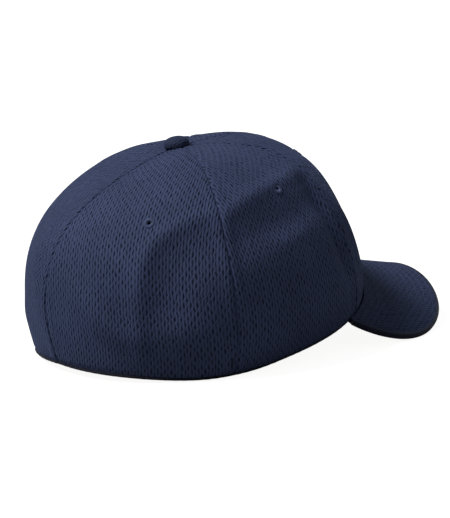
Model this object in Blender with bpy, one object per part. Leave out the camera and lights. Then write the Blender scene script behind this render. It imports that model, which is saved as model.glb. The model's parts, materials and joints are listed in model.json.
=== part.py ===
"""A six-panel closed-back baseball cap with a curved visor, built piece by piece.

Sizes below are in millimetres and are turned into metres as each mesh is made. The cap stands as
it rests on a table: +Z up, visor towards -Y, wearer's right at -X. Angles round the crown start
at the front and grow towards +X. Every cloth layer is a sheet at its own depth under the crown's
outer face, so that neighbouring layers keep an even gap.
"""

import math

import bmesh
import bpy
import numpy as np
from mathutils import Matrix, Vector

MM = 0.001

# Crown: Bezier control points (radius, height) up the front, the side and the back.
APEX = 119.6
APEX_BACK = 4.0
APEX_SHIFT_POWER = 6
FRONT_PROFILE = ((102.4, 0.0), (96.5, 43.5), (92.8, 89.0), (77.0, 133.5), (47.5, 124.2), (0.0, APEX))
SIDE_PROFILE = ((87.5, 0.0), (106.3, 36.5), (94.7, 88.0), (67.5, 119.0), (31.5, 122.0), (0.0, APEX))
BACK_PROFILE = ((94.0, 0.0), (102.6, 29.5), (111.5, 84.5), (82.5, 92.5), (27.5, 116.5), (0.0, APEX))
FRONT_SQUARENESS = 2.43
BACK_SQUARENESS = 2.1
FRONT_RIM_RISE = 35.0
FRONT_RISE_FALL = 1.62
BACK_RIM_RISE = 4.4
SIDE_DIP = 2.5
SIDE_DIP_ANGLE = 114.0
SIDE_DIP_SPREAD = 24.0
RIM_FADE = 5
PANEL_FLATNESS = 0.19
FLATNESS_SKEW = 0.7
SEAMS = (-180.0, -108.5, -53.0, 0.0, 53.0, 108.5, 180.0)
SEAM_GAP = 0.3
PANEL_THICK = 0.7
PANEL_COLUMNS = 8
PANEL_ROWS = 13
TIP_RADIUS = 2.5

SEAM_ROUNDING = 0.03
PROFILE_STEP = 0.004
TABLE_STEPS = 401
DOME_FROM = 0.6
SHARP_ANGLE = 40

# Layers behind the panels: depth of each outer face, and thickness.
BUCKRAM_DEPTH = 1.1
BUCKRAM_THICK = 0.7
BUCKRAM_INSET = 1.2
BUCKRAM_TIP_RADIUS = 14.0
BUCKRAM_ROWS = 12
FRONT_TAPE_DEPTH = 2.15
BACK_TAPE_DEPTH = 1.3
TAPE_THICK = 0.6
TAPE_HALF_WIDTH = 9.0
TAPE_HALF_ANGLE = 24.0
TAPE_TIP_RADIUS = 4.5
TAPE_COLUMNS = 4
PAD_DEPTH = 3.1
FOAM_THICK = 1.4
ELASTIC_THICK = 0.8
FACE_DEPTH = 5.1
FACE_THICK = 0.7
LINER_START = 1.2
FACE_HEIGHT = 35.0
FOAM_HEIGHT = 32.0
FOAM_HALF_ANGLE = 100.0
ELASTIC_START = 103.0
ELASTIC_LOW = 3.0
ELASTIC_HIGH = 27.0
FACE_SLIT_ANGLE = 0.15
FACE_COLUMNS, FACE_ROWS = 60, 3
FOAM_COLUMNS, FOAM_ROWS = 36, 3
ELASTIC_COLUMNS, ELASTIC_ROWS = 24, 2

# Labels, blank.
PATCH_DEPTH = 6.2
JOIN_HALF_WIDTH = 8.0
JOIN_THICK = 0.5
JOIN_COLUMNS, JOIN_ROWS = 4, 4
WOVEN_LABEL_DEPTH = 2.3
WOVEN_LABEL_THICK = 0.4
WOVEN_LABEL_HALF_WIDTH = 18.0
WOVEN_LABEL_SPAN = (38.0, 55.0)
WOVEN_LABEL_COLUMNS, WOVEN_LABEL_ROWS = 8, 3
SIZE_LABEL_ANGLE = -164.0
SIZE_LABEL_HALF_WIDTH = 8.0
SIZE_LABEL_SPAN = (7.0, 17.0)
SIZE_LABEL_COLUMNS, SIZE_LABEL_ROWS = 4, 2
LABEL_THICK = 0.3
CARE_LABEL_RISE = 78.0
CARE_LABEL_DEPTH = 3.6
CARE_LABEL_SIZE = (18.0, 0.4, 28.0)

# Rim binding: section points (depth into the wall, distance up it from the panels' edge).
BINDING_SECTION = ((0.3, -0.3), (0.6, -1.3), (1.4, -2.2), (4.7, -2.2), (5.5, -1.2), (5.3, -0.3))
BINDING_STEPS = 72

# Eyelets: angle and distance up the wall of the right-hand one of each pair.
EYELETS = {"front": (25.5, 90.0), "side": (77.0, 97.5), "back": (137.3, 90.0)}
EYELET_HOLE_RADIUS = 3.2
EYELET_CUT_DEPTH = 8.0
EYELET_OUTER_RADIUS = 2.9
EYELET_INNER_RADIUS = 0.9
EYELET_PROUD = 0.5
EYELET_ROUNDING = 0.4
EYELET_STEPS = 12

# Button: a covered metal cap held by a prong through the panels' tips.
BUTTON_LEAN = 7.5
BUTTON_BASE = 0.9
BUTTON_RADIUS = 7.6
BUTTON_HEIGHT = 4.9
BUTTON_FULLNESS = 0.8
BUTTON_COVER_THICK = 0.7
BUTTON_SHELL_THICK = 0.5
BUTTON_GAP = 0.3
BUTTON_STEPS = 20
DOME_POINTS = 6
PRONG_RADIUS = 1.0
PRONG_FLANGE_RADIUS = 5.0
PRONG_FLANGE_THICK = 0.5
WASHER_TOP = -3.9
WASHER_THICK = 0.8
WASHER_RADIUS = 7.0
WASHER_BORE = 1.4

# Visor: middle surface, from the crown seam to the outline.
EAR_ANGLE = 57.5
VISOR_CLEARANCE = 1.0
VISOR_LENGTH = 62.0
VISOR_DIP = 12.6
VISOR_DROOP_POWER = 1.8
VISOR_TIP = (1.5, 2.5)
VISOR_SHOULDER = (11.0, 15.5)
VISOR_CORNER = (107.5, 31.0)
VISOR_FRONT_HALF = 37.5
VISOR_COLUMNS = 36
BOARD_ROWS, TOP_COVER_ROWS, UNDER_COVER_ROWS = 4, 6, 5
ACROSS_STEP, OUT_STEP = 0.005, 0.01
BOARD_THICK = 1.6
COVER_THICK = 0.6
COVER_GAP = 0.3
EDGE_INSET = 1.7
ROOT_INSET = 0.3
EDGE_SECTION = ((1.0, -1.6), (1.0, 1.6), (0.3, 1.7), (0.0, 0.9), (0.0, -0.9), (0.3, -1.7))
EDGE_STEPS = 48
STITCH_ROWS = 8
STITCH_FIRST = 4.0
STITCH_PITCH = 5.0
STITCH_RADIUS = 0.25
STITCH_END = 3.0
STITCH_STEPS = 24

# Bar tack on the hem behind the right seam.
TACK_ANGLE = -110.2
TACK_RISE = 9.0
TACK_SIZE = (1.2, 4.5, 0.6)
TACK_LIFT = 0.7

NAVY = (0.024, 0.032, 0.072)
NAVY_VISOR = (0.016, 0.021, 0.05)
NAVY_TRIM = (0.014, 0.018, 0.042)
LINER_GREY = (0.03, 0.034, 0.05)
FOAM_GREY = (0.3, 0.3, 0.31)
BUCKRAM_WHITE = (0.62, 0.62, 0.6)
LABEL_WHITE = (0.7, 0.7, 0.69)
STEEL = (0.55, 0.55, 0.56)
BOARD_GREY = (0.2, 0.2, 0.21)


def clear_scene():
    for obj in list(bpy.data.objects):
        bpy.data.objects.remove(obj, do_unlink=True)


def principled(name, colour, roughness, metallic=0.0):
    material = bpy.data.materials.new(name)
    material.use_nodes = True
    shader = material.node_tree.nodes["Principled BSDF"]
    shader.inputs["Base Color"].default_value = (*colour, 1.0)
    shader.inputs["Roughness"].default_value = roughness
    shader.inputs["Metallic"].default_value = metallic
    material.diffuse_color = (*colour, 1.0)
    return material


def add_object(name, data, material, parent, location=(0.0, 0.0, 0.0)):
    obj = bpy.data.objects.new(name, data)
    bpy.context.collection.objects.link(obj)
    obj.parent = parent
    obj.location = location
    if material is not None:
        data.materials.append(material)
    return obj


def add_empty(name, parent, location=(0.0, 0.0, 0.0)):
    return add_object(name, None, None, parent, location)


def bezier(control, t):
    """Bezier curve: sum over k of C(n, k) t^k (1 - t)^(n - k) P_k."""
    control = np.asarray(control, float)
    degree = len(control) - 1
    t = np.asarray(t, float)[..., None]
    return sum(math.comb(degree, k) * t**k * (1 - t) ** (degree - k) * control[k] for k in range(degree + 1))


def round_crown(angle, t):
    """Crown before its panels are flattened: front, side and back profiles joined by a superellipse plan.

    The rim is raised by A exp(-k (1 - cos angle)) to the front and B cos^2 angle behind, and dips
    in a bell to each side. The whole leans back with height by APEX_BACK t^6."""
    forward, sideways = np.cos(angle), np.sin(angle)
    ahead = forward > 0
    side = bezier(SIDE_PROFILE, t)
    end = np.where(ahead[..., None], bezier(FRONT_PROFILE, t), bezier(BACK_PROFILE, t))
    power = np.where(ahead, FRONT_SQUARENESS, BACK_SQUARENESS)
    reach = (np.abs(sideways) ** power + np.abs(forward) ** power) ** (-1 / power)
    from_dip = (np.degrees(np.arccos(np.clip(forward, -1, 1))) - SIDE_DIP_ANGLE) / SIDE_DIP_SPREAD
    rim = FRONT_RIM_RISE * np.exp(-FRONT_RISE_FALL * (1 - forward)) - SIDE_DIP * np.exp(-(from_dip**2))
    rim = rim + BACK_RIM_RISE * np.maximum(0, -forward) ** 2
    height = forward**2 * end[..., 1] + sideways**2 * side[..., 1] + rim * (1 - t) ** RIM_FADE
    back = APEX_BACK * t**APEX_SHIFT_POWER - end[..., 0] * forward * reach
    return np.stack([side[..., 0] * sideways * reach, back, height], -1)


def skin(angle, t):
    """Outer face: each panel is pulled part way to the straight line between its two seams."""
    angle, t = np.broadcast_arrays(np.asarray(angle, float), np.clip(t, 0, 1))
    seams = np.radians(SEAMS)
    angle = (angle + np.pi) % (2 * np.pi) - np.pi
    panel = np.clip(np.searchsorted(seams, angle, side="right") - 1, 0, len(seams) - 2)
    left, right = seams[panel], seams[panel + 1]
    across = ((angle - left) / (right - left))[..., None]
    straight = round_crown(left, t) * (1 - across) + round_crown(right, t) * across
    pull = PANEL_FLATNESS * np.sin(np.pi * t**FLATNESS_SKEW)[..., None]
    return round_crown(angle, t) * (1 - pull) + straight * pull


def outward(angle, t):
    """Unit normal of the outer face, from differences wide enough to round off the seams."""
    across = skin(angle + SEAM_ROUNDING, t) - skin(angle - SEAM_ROUNDING, t)
    up = skin(angle, t + PROFILE_STEP) - skin(angle, t - PROFILE_STEP)
    normal = np.cross(across, up)
    return normal / np.linalg.norm(normal, axis=-1, keepdims=True)


def layer(angle, t, depth):
    return skin(angle, t) - depth * outward(angle, t)


def flat_outward(angle):
    """Horizontal outward direction at the rim."""
    normal = outward(angle, np.zeros_like(angle)) * (1, 1, 0)
    return normal / np.linalg.norm(normal, axis=-1, keepdims=True)


def up_wall(angles, distance):
    """Profile parameter at this distance up the wall from the rim, for each angle."""
    t = np.linspace(0, 1, TABLE_STEPS)
    points = skin(np.asarray(angles)[:, None], t[None])
    arcs = np.cumsum(np.linalg.norm(np.diff(points, axis=1), axis=2), axis=1)
    return np.array([np.interp(distance, arc, t[1:]) for arc in arcs])


def near_button(angles, radius):
    """Profile parameter where the crown is this far from the button's axis, for each angle."""
    t = np.linspace(DOME_FROM, 1, TABLE_STEPS)
    points = skin(np.asarray(angles)[:, None], t[None])
    radii = np.hypot(points[..., 0], points[..., 1] - APEX_BACK)
    return np.array([np.interp(radius, row[::-1], t[::-1]) for row in radii])


def mesh_from(name, points, faces, origin=(0.0, 0.0, 0.0)):
    mesh = bpy.data.meshes.new(name)
    mesh.from_pydata([tuple(p) for p in (np.asarray(points) - origin) * MM], [], faces)
    mesh.validate()
    mesh.shade_smooth()
    return mesh


def sheet(name, grid, thickness, material, parent, closed=False, origin=(0.0, 0.0, 0.0)):
    """A grid of points given thickness inwards by Solidify; closed joins the last column to the first."""
    columns, rows = grid.shape[:2]
    faces = []
    for i in range(columns if closed else columns - 1):
        for j in range(rows - 1):
            k = (i + 1) % columns
            faces.append((i * rows + j, k * rows + j, k * rows + j + 1, i * rows + j + 1))
    mesh = mesh_from(name, grid.reshape(-1, 3), faces, origin)
    obj = add_object(name, mesh, material, parent, Vector(origin) * MM)
    solid = obj.modifiers.new("thickness", "SOLIDIFY")
    solid.thickness = thickness * MM
    solid.offset = -1
    return obj


def loft(name, rings, material, parent, closed, origin=(0.0, 0.0, 0.0)):
    """Section loops joined one to the next; an open loft is capped at both ends."""
    count, sides = rings.shape[:2]
    faces = []
    for i in range(count if closed else count - 1):
        k = (i + 1) % count
        for j in range(sides):
            m = (j + 1) % sides
            faces.append((i * sides + j, i * sides + m, k * sides + m, k * sides + j))
    if not closed:
        faces.append(tuple(range(sides - 1, -1, -1)))
        faces.append(tuple(range((count - 1) * sides, count * sides)))
    mesh = mesh_from(name, rings.reshape(-1, 3), faces, origin)
    edit = bmesh.new()
    edit.from_mesh(mesh)
    bmesh.ops.recalc_face_normals(edit, faces=edit.faces)
    edit.to_mesh(mesh)
    edit.free()
    mesh.set_sharp_from_angle(angle=math.radians(SHARP_ANGLE))
    return add_object(name, mesh, material, parent, Vector(origin) * MM)


def turned(name, profile, steps, material, parent, ring=False):
    """A profile (radius, height) turned about Z with a Screw; ring joins its ends into a loop."""
    count = len(profile)
    edges = [(i, i + 1) for i in range(count - 1)]
    if ring:
        edges.append((count - 1, 0))
    mesh = bpy.data.meshes.new(name)
    mesh.from_pydata([(r * MM, 0.0, h * MM) for r, h in profile], edges, [])
    obj = add_object(name, mesh, material, parent)
    screw = obj.modifiers.new("turn", "SCREW")
    screw.steps = steps
    screw.render_steps = steps
    screw.use_merge_vertices = True
    screw.merge_threshold = 0.00001
    return obj


def oriented(point, normal):
    """Matrix that puts a piece at a point with its Z along the normal and its Y up the wall."""
    z_axis = Vector(normal).normalized()
    x_axis = Vector((0, 0, 1)).cross(z_axis).normalized()
    y_axis = z_axis.cross(x_axis)
    turn = Matrix((x_axis, y_axis, z_axis)).transposed().to_4x4()
    return Matrix.Translation(Vector(point) * MM) @ turn


def box(name, size, material, parent, offset=(0.0, 0.0, 0.0)):
    mesh = bpy.data.meshes.new(name)
    edit = bmesh.new()
    bmesh.ops.create_cube(edit, size=1.0)
    bmesh.ops.scale(edit, vec=Vector(size) * MM, verts=edit.verts)
    bmesh.ops.translate(edit, vec=Vector(offset) * MM, verts=edit.verts)
    edit.to_mesh(mesh)
    edit.free()
    return add_object(name, mesh, material, parent)


def panel_grid(index, inset, depth, low, tip, columns, rows):
    """Points of one panel, inset from its seams, from a distance up the wall to a radius at the button."""
    left, right = np.radians(SEAMS[index]), np.radians(SEAMS[index + 1])
    angles = left + (right - left) * np.linspace(0, 1, columns + 1)
    start, end = up_wall(angles, low), near_button(angles, tip)
    t = start[:, None] + (end - start)[:, None] * np.linspace(0, 1, rows + 1)[None]
    width = np.linalg.norm(skin(right, t[0]) - skin(left, t[0]), axis=-1)
    margin = inset / width
    across = margin[None] + (1 - 2 * margin)[None] * np.linspace(0, 1, columns + 1)[:, None]
    return layer(left + (right - left) * across, t, depth)


def band_grid(centre, half_width, low, high, depth, columns, rows):
    """Points of a patch centred on an angle, of even width, between two distances up the wall."""
    middle = np.radians(centre)
    t = np.linspace(up_wall([middle], low)[0], up_wall([middle], high)[0], rows + 1)
    return spread_grid(middle, half_width, t, depth, columns, np.pi)


def spread_grid(middle, half_width, t, depth, columns, widest):
    """Points either side of an angle, t up the wall, as wide as asked unless an angle limits it."""
    arc = skin(middle + SEAM_ROUNDING, t) - skin(middle - SEAM_ROUNDING, t)
    speed = np.linalg.norm(arc, axis=-1) / (2 * SEAM_ROUNDING)
    half = np.minimum(half_width / speed, widest)
    angles = middle + half[None] * np.linspace(-1, 1, columns + 1)[:, None]
    return layer(angles, np.broadcast_to(t, angles.shape), depth)


def ring_grid(start, end, low, high, depth, columns, rows):
    """Points of a band round the inside, between two distances up the wall."""
    angles = np.radians(np.linspace(start, end, columns + 1))
    bottom, top = up_wall(angles, low), up_wall(angles, high)
    t = bottom[:, None] + (top - bottom)[:, None] * np.linspace(0, 1, rows + 1)[None]
    return layer(np.broadcast_to(angles[:, None], t.shape), t, depth)


def cut_eyelet(panels, name, angle, distance, cap):
    """One hole through a panel and what backs it. Returns the eyelet's placing."""
    turn = np.radians(angle)
    t = up_wall([turn], distance)[0]
    place = oriented(skin(turn, t), outward(turn, t))
    mesh = bpy.data.meshes.new(name)
    edit = bmesh.new()
    bmesh.ops.create_cone(
        edit,
        cap_ends=True,
        segments=EYELET_STEPS,
        radius1=EYELET_HOLE_RADIUS * MM,
        radius2=EYELET_HOLE_RADIUS * MM,
        depth=EYELET_CUT_DEPTH * MM,
    )
    edit.to_mesh(mesh)
    edit.free()
    cutter = add_object(name, mesh, None, cap)
    cutter.matrix_local = place
    cutter.hide_render = True
    cutter.display_type = "WIRE"
    for panel in panels:
        cut = panel.modifiers.new("eyelet hole", "BOOLEAN")
        cut.operation = "DIFFERENCE"
        cut.solver = "EXACT"
        cut.object = cutter
    return place


def build_crown(cap):
    cloth = principled("crown_mesh_cloth", NAVY, 0.9)
    backing = principled("buckram", BUCKRAM_WHITE, 0.95)
    thread = principled("eyelet_thread", NAVY, 0.7)
    right = [where + "_panel_right" for where in ("back", "side", "front")]
    left = [where + "_panel_left" for where in ("front", "side", "back")]
    panels = {}
    for index, name in enumerate(right + left):
        grid = panel_grid(index, SEAM_GAP / 2, 0.0, 0.0, TIP_RADIUS, PANEL_COLUMNS, PANEL_ROWS)
        panels[name] = [sheet(name, grid, PANEL_THICK, cloth, cap)]
    for index, side in ((2, "right"), (3, "left")):
        low, tip = LINER_START, BUCKRAM_TIP_RADIUS
        grid = panel_grid(index, BUCKRAM_INSET, BUCKRAM_DEPTH, low, tip, PANEL_COLUMNS, BUCKRAM_ROWS)
        backer = sheet("front_buckram_" + side, grid, BUCKRAM_THICK, backing, cap)
        panels["front_panel_" + side].append(backer)
    for where, (angle, distance) in EYELETS.items():
        back_face = BUCKRAM_DEPTH + BUCKRAM_THICK if where == "front" else PANEL_THICK
        inner = -back_face - EYELET_PROUD
        profile = (
            (EYELET_INNER_RADIUS + EYELET_ROUNDING, EYELET_PROUD),
            (EYELET_OUTER_RADIUS - EYELET_ROUNDING, EYELET_PROUD),
            (EYELET_OUTER_RADIUS, EYELET_PROUD - EYELET_ROUNDING),
            (EYELET_OUTER_RADIUS, inner),
            (EYELET_INNER_RADIUS, inner),
            (EYELET_INNER_RADIUS, EYELET_PROUD - EYELET_ROUNDING),
        )
        for side, sign in (("right", -1), ("left", 1)):
            hit = panels[where + "_panel_" + side]
            place = cut_eyelet(hit, "cut_" + where + "_" + side, sign * angle, distance, cap)
            name = "eyelet_" + where + "_" + side
            eyelet = turned(name, profile, EYELET_STEPS, thread, cap, ring=True)
            eyelet.matrix_local = place


def build_seam_tapes(cap):
    tape = principled("seam_tape", LINER_GREY, 0.85)
    named = (
        ("front", 0.0, FRONT_TAPE_DEPTH),
        ("front_right", SEAMS[2], FRONT_TAPE_DEPTH),
        ("front_left", SEAMS[4], FRONT_TAPE_DEPTH),
        ("back_right", SEAMS[1], BACK_TAPE_DEPTH),
        ("back_left", SEAMS[5], BACK_TAPE_DEPTH),
        ("back", SEAMS[6], BACK_TAPE_DEPTH),
    )
    for where, angle, depth in named:
        middle = np.radians(angle)
        low, tip = up_wall([middle], LINER_START)[0], near_button([middle], TAPE_TIP_RADIUS)[0]
        t = np.linspace(low, tip, PANEL_ROWS)
        grid = spread_grid(middle, TAPE_HALF_WIDTH, t, depth, TAPE_COLUMNS, np.radians(TAPE_HALF_ANGLE))
        sheet("seam_tape_" + where, grid, TAPE_THICK, tape, cap)


def build_rim(cap):
    trim = principled("rim_binding", NAVY_TRIM, 0.9)
    angles = np.linspace(-np.pi, np.pi, BINDING_STEPS, endpoint=False)
    rim, inwards = skin(angles, 0.0), -outward(angles, 0.0)
    up = skin(angles, PROFILE_STEP) - rim
    up = up / np.linalg.norm(up, axis=-1, keepdims=True)
    rings = np.stack([rim + depth * inwards + height * up for depth, height in BINDING_SECTION], axis=1)
    loft("rim_binding", rings, trim, cap, closed=True)
    turn = np.radians(TACK_ANGLE)
    t = up_wall([turn], TACK_RISE)[0]
    normal = outward(turn, t)
    tack = box("hem_bar_tack", TACK_SIZE, principled("tack_thread", NAVY_TRIM, 0.6), cap)
    tack.matrix_local = oriented(skin(turn, t) + TACK_LIFT * normal, normal)


def build_sweatband(cap):
    face = principled("sweatband_face", NAVY_TRIM, 0.85)
    foam = principled("sweatband_foam", FOAM_GREY, 0.95)
    elastic = principled("sweatband_elastic", LINER_GREY, 0.8)
    edge = 180.0 - FACE_SLIT_ANGLE
    grid = ring_grid(-edge, edge, LINER_START, FACE_HEIGHT, FACE_DEPTH, FACE_COLUMNS, FACE_ROWS)
    sheet("sweatband_face", grid, FACE_THICK, face, cap)
    reach = FOAM_HALF_ANGLE
    grid = ring_grid(-reach, reach, LINER_START, FOAM_HEIGHT, PAD_DEPTH, FOAM_COLUMNS, FOAM_ROWS)
    sheet("sweatband_foam", grid, FOAM_THICK, foam, cap)
    start, end = ELASTIC_START, 360 - ELASTIC_START
    grid = ring_grid(start, end, ELASTIC_LOW, ELASTIC_HIGH, PAD_DEPTH, ELASTIC_COLUMNS, ELASTIC_ROWS)
    sheet("sweatband_elastic", grid, ELASTIC_THICK, elastic, cap)
    low, high = LINER_START + 1, FACE_HEIGHT - 1
    grid = band_grid(180.0, JOIN_HALF_WIDTH, low, high, PATCH_DEPTH, JOIN_COLUMNS, JOIN_ROWS)
    sheet("sweatband_join_cover", grid, JOIN_THICK, face, cap)


def build_labels(cap):
    """Blank labels; the care label hangs from the back seam tape and swings on its sewn top edge."""
    white = principled("label_cloth", LABEL_WHITE, 0.8)
    low, high = WOVEN_LABEL_SPAN
    half, depth = WOVEN_LABEL_HALF_WIDTH, WOVEN_LABEL_DEPTH
    grid = band_grid(180.0, half, low, high, depth, WOVEN_LABEL_COLUMNS, WOVEN_LABEL_ROWS)
    sheet("woven_label", grid, WOVEN_LABEL_THICK, principled("woven_label", LINER_GREY, 0.7), cap)
    low, high = SIZE_LABEL_SPAN
    centre, half = SIZE_LABEL_ANGLE, SIZE_LABEL_HALF_WIDTH
    grid = band_grid(centre, half, low, high, PATCH_DEPTH, SIZE_LABEL_COLUMNS, SIZE_LABEL_ROWS)
    sheet("size_label", grid, LABEL_THICK, white, cap)
    t = up_wall([np.pi], CARE_LABEL_RISE)[0]
    hinge = add_empty("care_label_hinge", cap, Vector(layer(np.pi, t, CARE_LABEL_DEPTH)) * MM)
    drop = -CARE_LABEL_SIZE[2] / 2
    box("care_label", CARE_LABEL_SIZE, white, hinge, (0, 0, drop))


def build_button(cap):
    cloth = principled("button_cloth", NAVY, 0.85)
    metal = principled("button_metal", STEEL, 0.35, 1.0)
    plastic = principled("button_washer", BOARD_GREY, 0.5)
    axis = add_empty("button_axis", cap, (0.0, APEX_BACK * MM, APEX * MM))
    axis.rotation_euler = (-math.radians(BUTTON_LEAN), 0.0, 0.0)

    def dome(radius, height, base):
        """Outer side of a flattened dome, from the axis down to its rim."""
        turns = np.linspace(0, math.pi / 2, DOME_POINTS)
        power = BUTTON_FULLNESS
        side = [(radius * math.sin(a) ** power, base + height * math.cos(a) ** power) for a in turns[:-1]]
        return side + [(radius, base)]

    def cup(name, radius, height, base, thick, material):
        inside = dome(radius - thick, height - thick, base)
        turned(name, dome(radius, height, base) + inside[::-1], BUTTON_STEPS, material, axis)

    cup("button_cover", BUTTON_RADIUS, BUTTON_HEIGHT, BUTTON_BASE, BUTTON_COVER_THICK, cloth)
    inner_radius = BUTTON_RADIUS - BUTTON_COVER_THICK - BUTTON_GAP
    inner_height = BUTTON_HEIGHT - BUTTON_COVER_THICK - BUTTON_GAP
    cup("button_shell", inner_radius, inner_height, BUTTON_BASE, BUTTON_SHELL_THICK, metal)
    prong_top = BUTTON_BASE + inner_height - BUTTON_SHELL_THICK - BUTTON_GAP
    washer_low = WASHER_TOP - WASHER_THICK
    flange_top = washer_low - BUTTON_GAP
    prong = (
        (0.0, prong_top),
        (PRONG_RADIUS, prong_top),
        (PRONG_RADIUS, flange_top),
        (PRONG_FLANGE_RADIUS, flange_top),
        (PRONG_FLANGE_RADIUS, flange_top - PRONG_FLANGE_THICK),
        (0.0, flange_top - PRONG_FLANGE_THICK),
    )
    turned("button_prong", prong, BUTTON_STEPS, metal, axis)
    washer = (
        (WASHER_BORE, WASHER_TOP),
        (WASHER_RADIUS, WASHER_TOP),
        (WASHER_RADIUS, washer_low),
        (WASHER_BORE, washer_low),
    )
    turned("button_washer", washer, BUTTON_STEPS, plastic, axis, ring=True)


def visor_edges(u):
    """Root curve just outside the crown, and the visor's outline: a Bezier from each ear to the front."""
    angle = u * np.radians(EAR_ANGLE)
    root = skin(angle, 0.0) + VISOR_CLEARANCE * flat_outward(angle)
    ear = skin(np.radians([EAR_ANGLE]), 0.0)[0] + VISOR_CLEARANCE * flat_outward(np.radians([EAR_ANGLE]))[0]
    front = -FRONT_PROFILE[0][0] - VISOR_LENGTH
    control = (
        (ear[0] + VISOR_TIP[0], ear[1] - VISOR_TIP[1]),
        (ear[0] + VISOR_SHOULDER[0], ear[1] - VISOR_SHOULDER[1]),
        (VISOR_CORNER[0], front + VISOR_CORNER[1]),
        (VISOR_FRONT_HALF, front),
        (0.0, front),
    )
    outline = bezier(control, 1 - np.abs(u))
    return root, outline[..., 0] * np.sign(u), outline[..., 1]


def visor_height(x, y):
    """Height of the visor's middle surface: a dipping centre line, drooping to the sides as a power of x."""
    ear = skin(np.radians([EAR_ANGLE]), 0.0)[0]
    centre = skin(np.zeros(1), 0.0)[0]
    slope = math.tan(math.radians(VISOR_DIP))
    droop = centre[2] - ear[2] - slope * (centre[1] - ear[1])
    return centre[2] - slope * (centre[1] - y) - droop * np.abs(x / ear[0]) ** VISOR_DROOP_POWER


def visor_middle(u, v):
    """Middle surface, v from 0 at the root to 1 at the outline; the root follows the rim exactly."""
    root, out_x, out_y = visor_edges(u)
    x = root[..., 0] * (1 - v) + out_x * v
    y = root[..., 1] * (1 - v) + out_y * v
    rise = (root[..., 2] - visor_height(root[..., 0], root[..., 1])) * (1 - v) ** 2
    return np.stack([x, y, visor_height(x, y) + rise], -1)


def visor_layer(u, v, height):
    """Points at a height above the middle surface."""
    inner = np.clip(u, ACROSS_STEP - 1, 1 - ACROSS_STEP)
    across = visor_middle(inner + ACROSS_STEP, v) - visor_middle(inner - ACROSS_STEP, v)
    out = visor_middle(u, v + OUT_STEP) - visor_middle(u, v - OUT_STEP)
    normal = np.cross(out, across)
    return visor_middle(u, v) + height * normal / np.linalg.norm(normal, axis=-1, keepdims=True)


def visor_width(u):
    root, out_x, out_y = visor_edges(u)
    return np.hypot(out_x - root[..., 0], out_y - root[..., 1])


def visor_grid(height, rows):
    u = np.linspace(-1, 1, VISOR_COLUMNS + 1)
    width = visor_width(u)
    start, end = ROOT_INSET / width, 1 - EDGE_INSET / width
    v = end[:, None] + (start - end)[:, None] * np.linspace(0, 1, rows + 1)[None]
    return visor_layer(np.broadcast_to(u[:, None], v.shape), v, height)


def build_visor(cap):
    """Board between two covers, a turned edge, and rows of stitching; all turn about the ear line."""
    ear = skin(np.radians([EAR_ANGLE]), 0.0)[0]
    origin = (0.0, float(ear[1]), float(ear[2]))
    cover = principled("visor_cover", NAVY_VISOR, 0.9)
    board = principled("visor_board", BOARD_GREY, 0.5)
    edge = principled("visor_edge", NAVY_VISOR, 0.9)
    thread = principled("visor_thread", NAVY, 0.6)
    hinge = add_empty("visor_hinge", cap, Vector(origin) * MM)

    def on_hinge(obj):
        obj.parent = hinge
        obj.location = (0.0, 0.0, 0.0)

    top = BOARD_THICK / 2 + COVER_GAP + COVER_THICK
    under = -BOARD_THICK / 2 - COVER_GAP
    grid = visor_grid(BOARD_THICK / 2, BOARD_ROWS)
    on_hinge(sheet("visor_board", grid, BOARD_THICK, board, cap, origin=origin))
    grid = visor_grid(top, TOP_COVER_ROWS)
    on_hinge(sheet("visor_top_cover", grid, COVER_THICK, cover, cap, origin=origin))
    grid = visor_grid(under, UNDER_COVER_ROWS)
    on_hinge(sheet("visor_under_cover", grid, COVER_THICK, cover, cap, origin=origin))
    u = np.linspace(-1, 1, EDGE_STEPS + 1)
    width = visor_width(u)
    rings = np.stack([visor_layer(u, 1 - inset / width, height) for inset, height in EDGE_SECTION], axis=1)
    on_hinge(loft("visor_edge", rings, edge, cap, closed=False, origin=origin))
    fine = np.linspace(0, 1, TABLE_STEPS)
    for row in range(STITCH_ROWS):
        inset = STITCH_FIRST + row * STITCH_PITCH
        reach = np.interp(-(inset + STITCH_END), -visor_width(fine), fine)
        u = np.linspace(-reach, reach, STITCH_STEPS + 1)
        path = visor_layer(u, 1 - inset / visor_width(u), top + COVER_GAP + STITCH_RADIUS)
        curve = bpy.data.curves.new("visor_stitch", "CURVE")
        curve.dimensions = "3D"
        curve.bevel_depth = STITCH_RADIUS * MM
        curve.bevel_resolution = 0
        curve.use_fill_caps = True
        spline = curve.splines.new("POLY")
        spline.points.add(len(path) - 1)
        for point, place in zip(spline.points, (path - origin) * MM):
            point.co = (*place, 1.0)
        add_object("visor_stitch_row_" + str(row + 1), curve, thread, hinge)


def stand_on_floor(cap):
    """Moves the whole cap so that its box is centred over the origin and stands on Z = 0."""
    bpy.context.view_layer.update()
    graph = bpy.context.evaluated_depsgraph_get()
    low, high = np.full(3, np.inf), np.full(3, -np.inf)
    for obj in bpy.data.objects:
        if obj.type == "EMPTY" or obj.hide_render:
            continue
        ready = obj.evaluated_get(graph)
        mesh = ready.to_mesh()
        points = np.array([ready.matrix_world @ vertex.co for vertex in mesh.vertices])
        ready.to_mesh_clear()
        low, high = np.minimum(low, points.min(axis=0)), np.maximum(high, points.max(axis=0))
    cap.location = (-(low[0] + high[0]) / 2, -(low[1] + high[1]) / 2, -low[2])
    bpy.context.view_layer.update()


def main():
    clear_scene()
    cap = add_empty("cap", None)
    build_crown(cap)
    build_seam_tapes(cap)
    build_rim(cap)
    build_sweatband(cap)
    build_labels(cap)
    build_button(cap)
    build_visor(cap)
    stand_on_floor(cap)
    for name in ("cap", "visor_hinge", "care_label_hinge"):
        print(name, tuple(round(value, 5) for value in bpy.data.objects[name].matrix_world.translation))


main()
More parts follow.
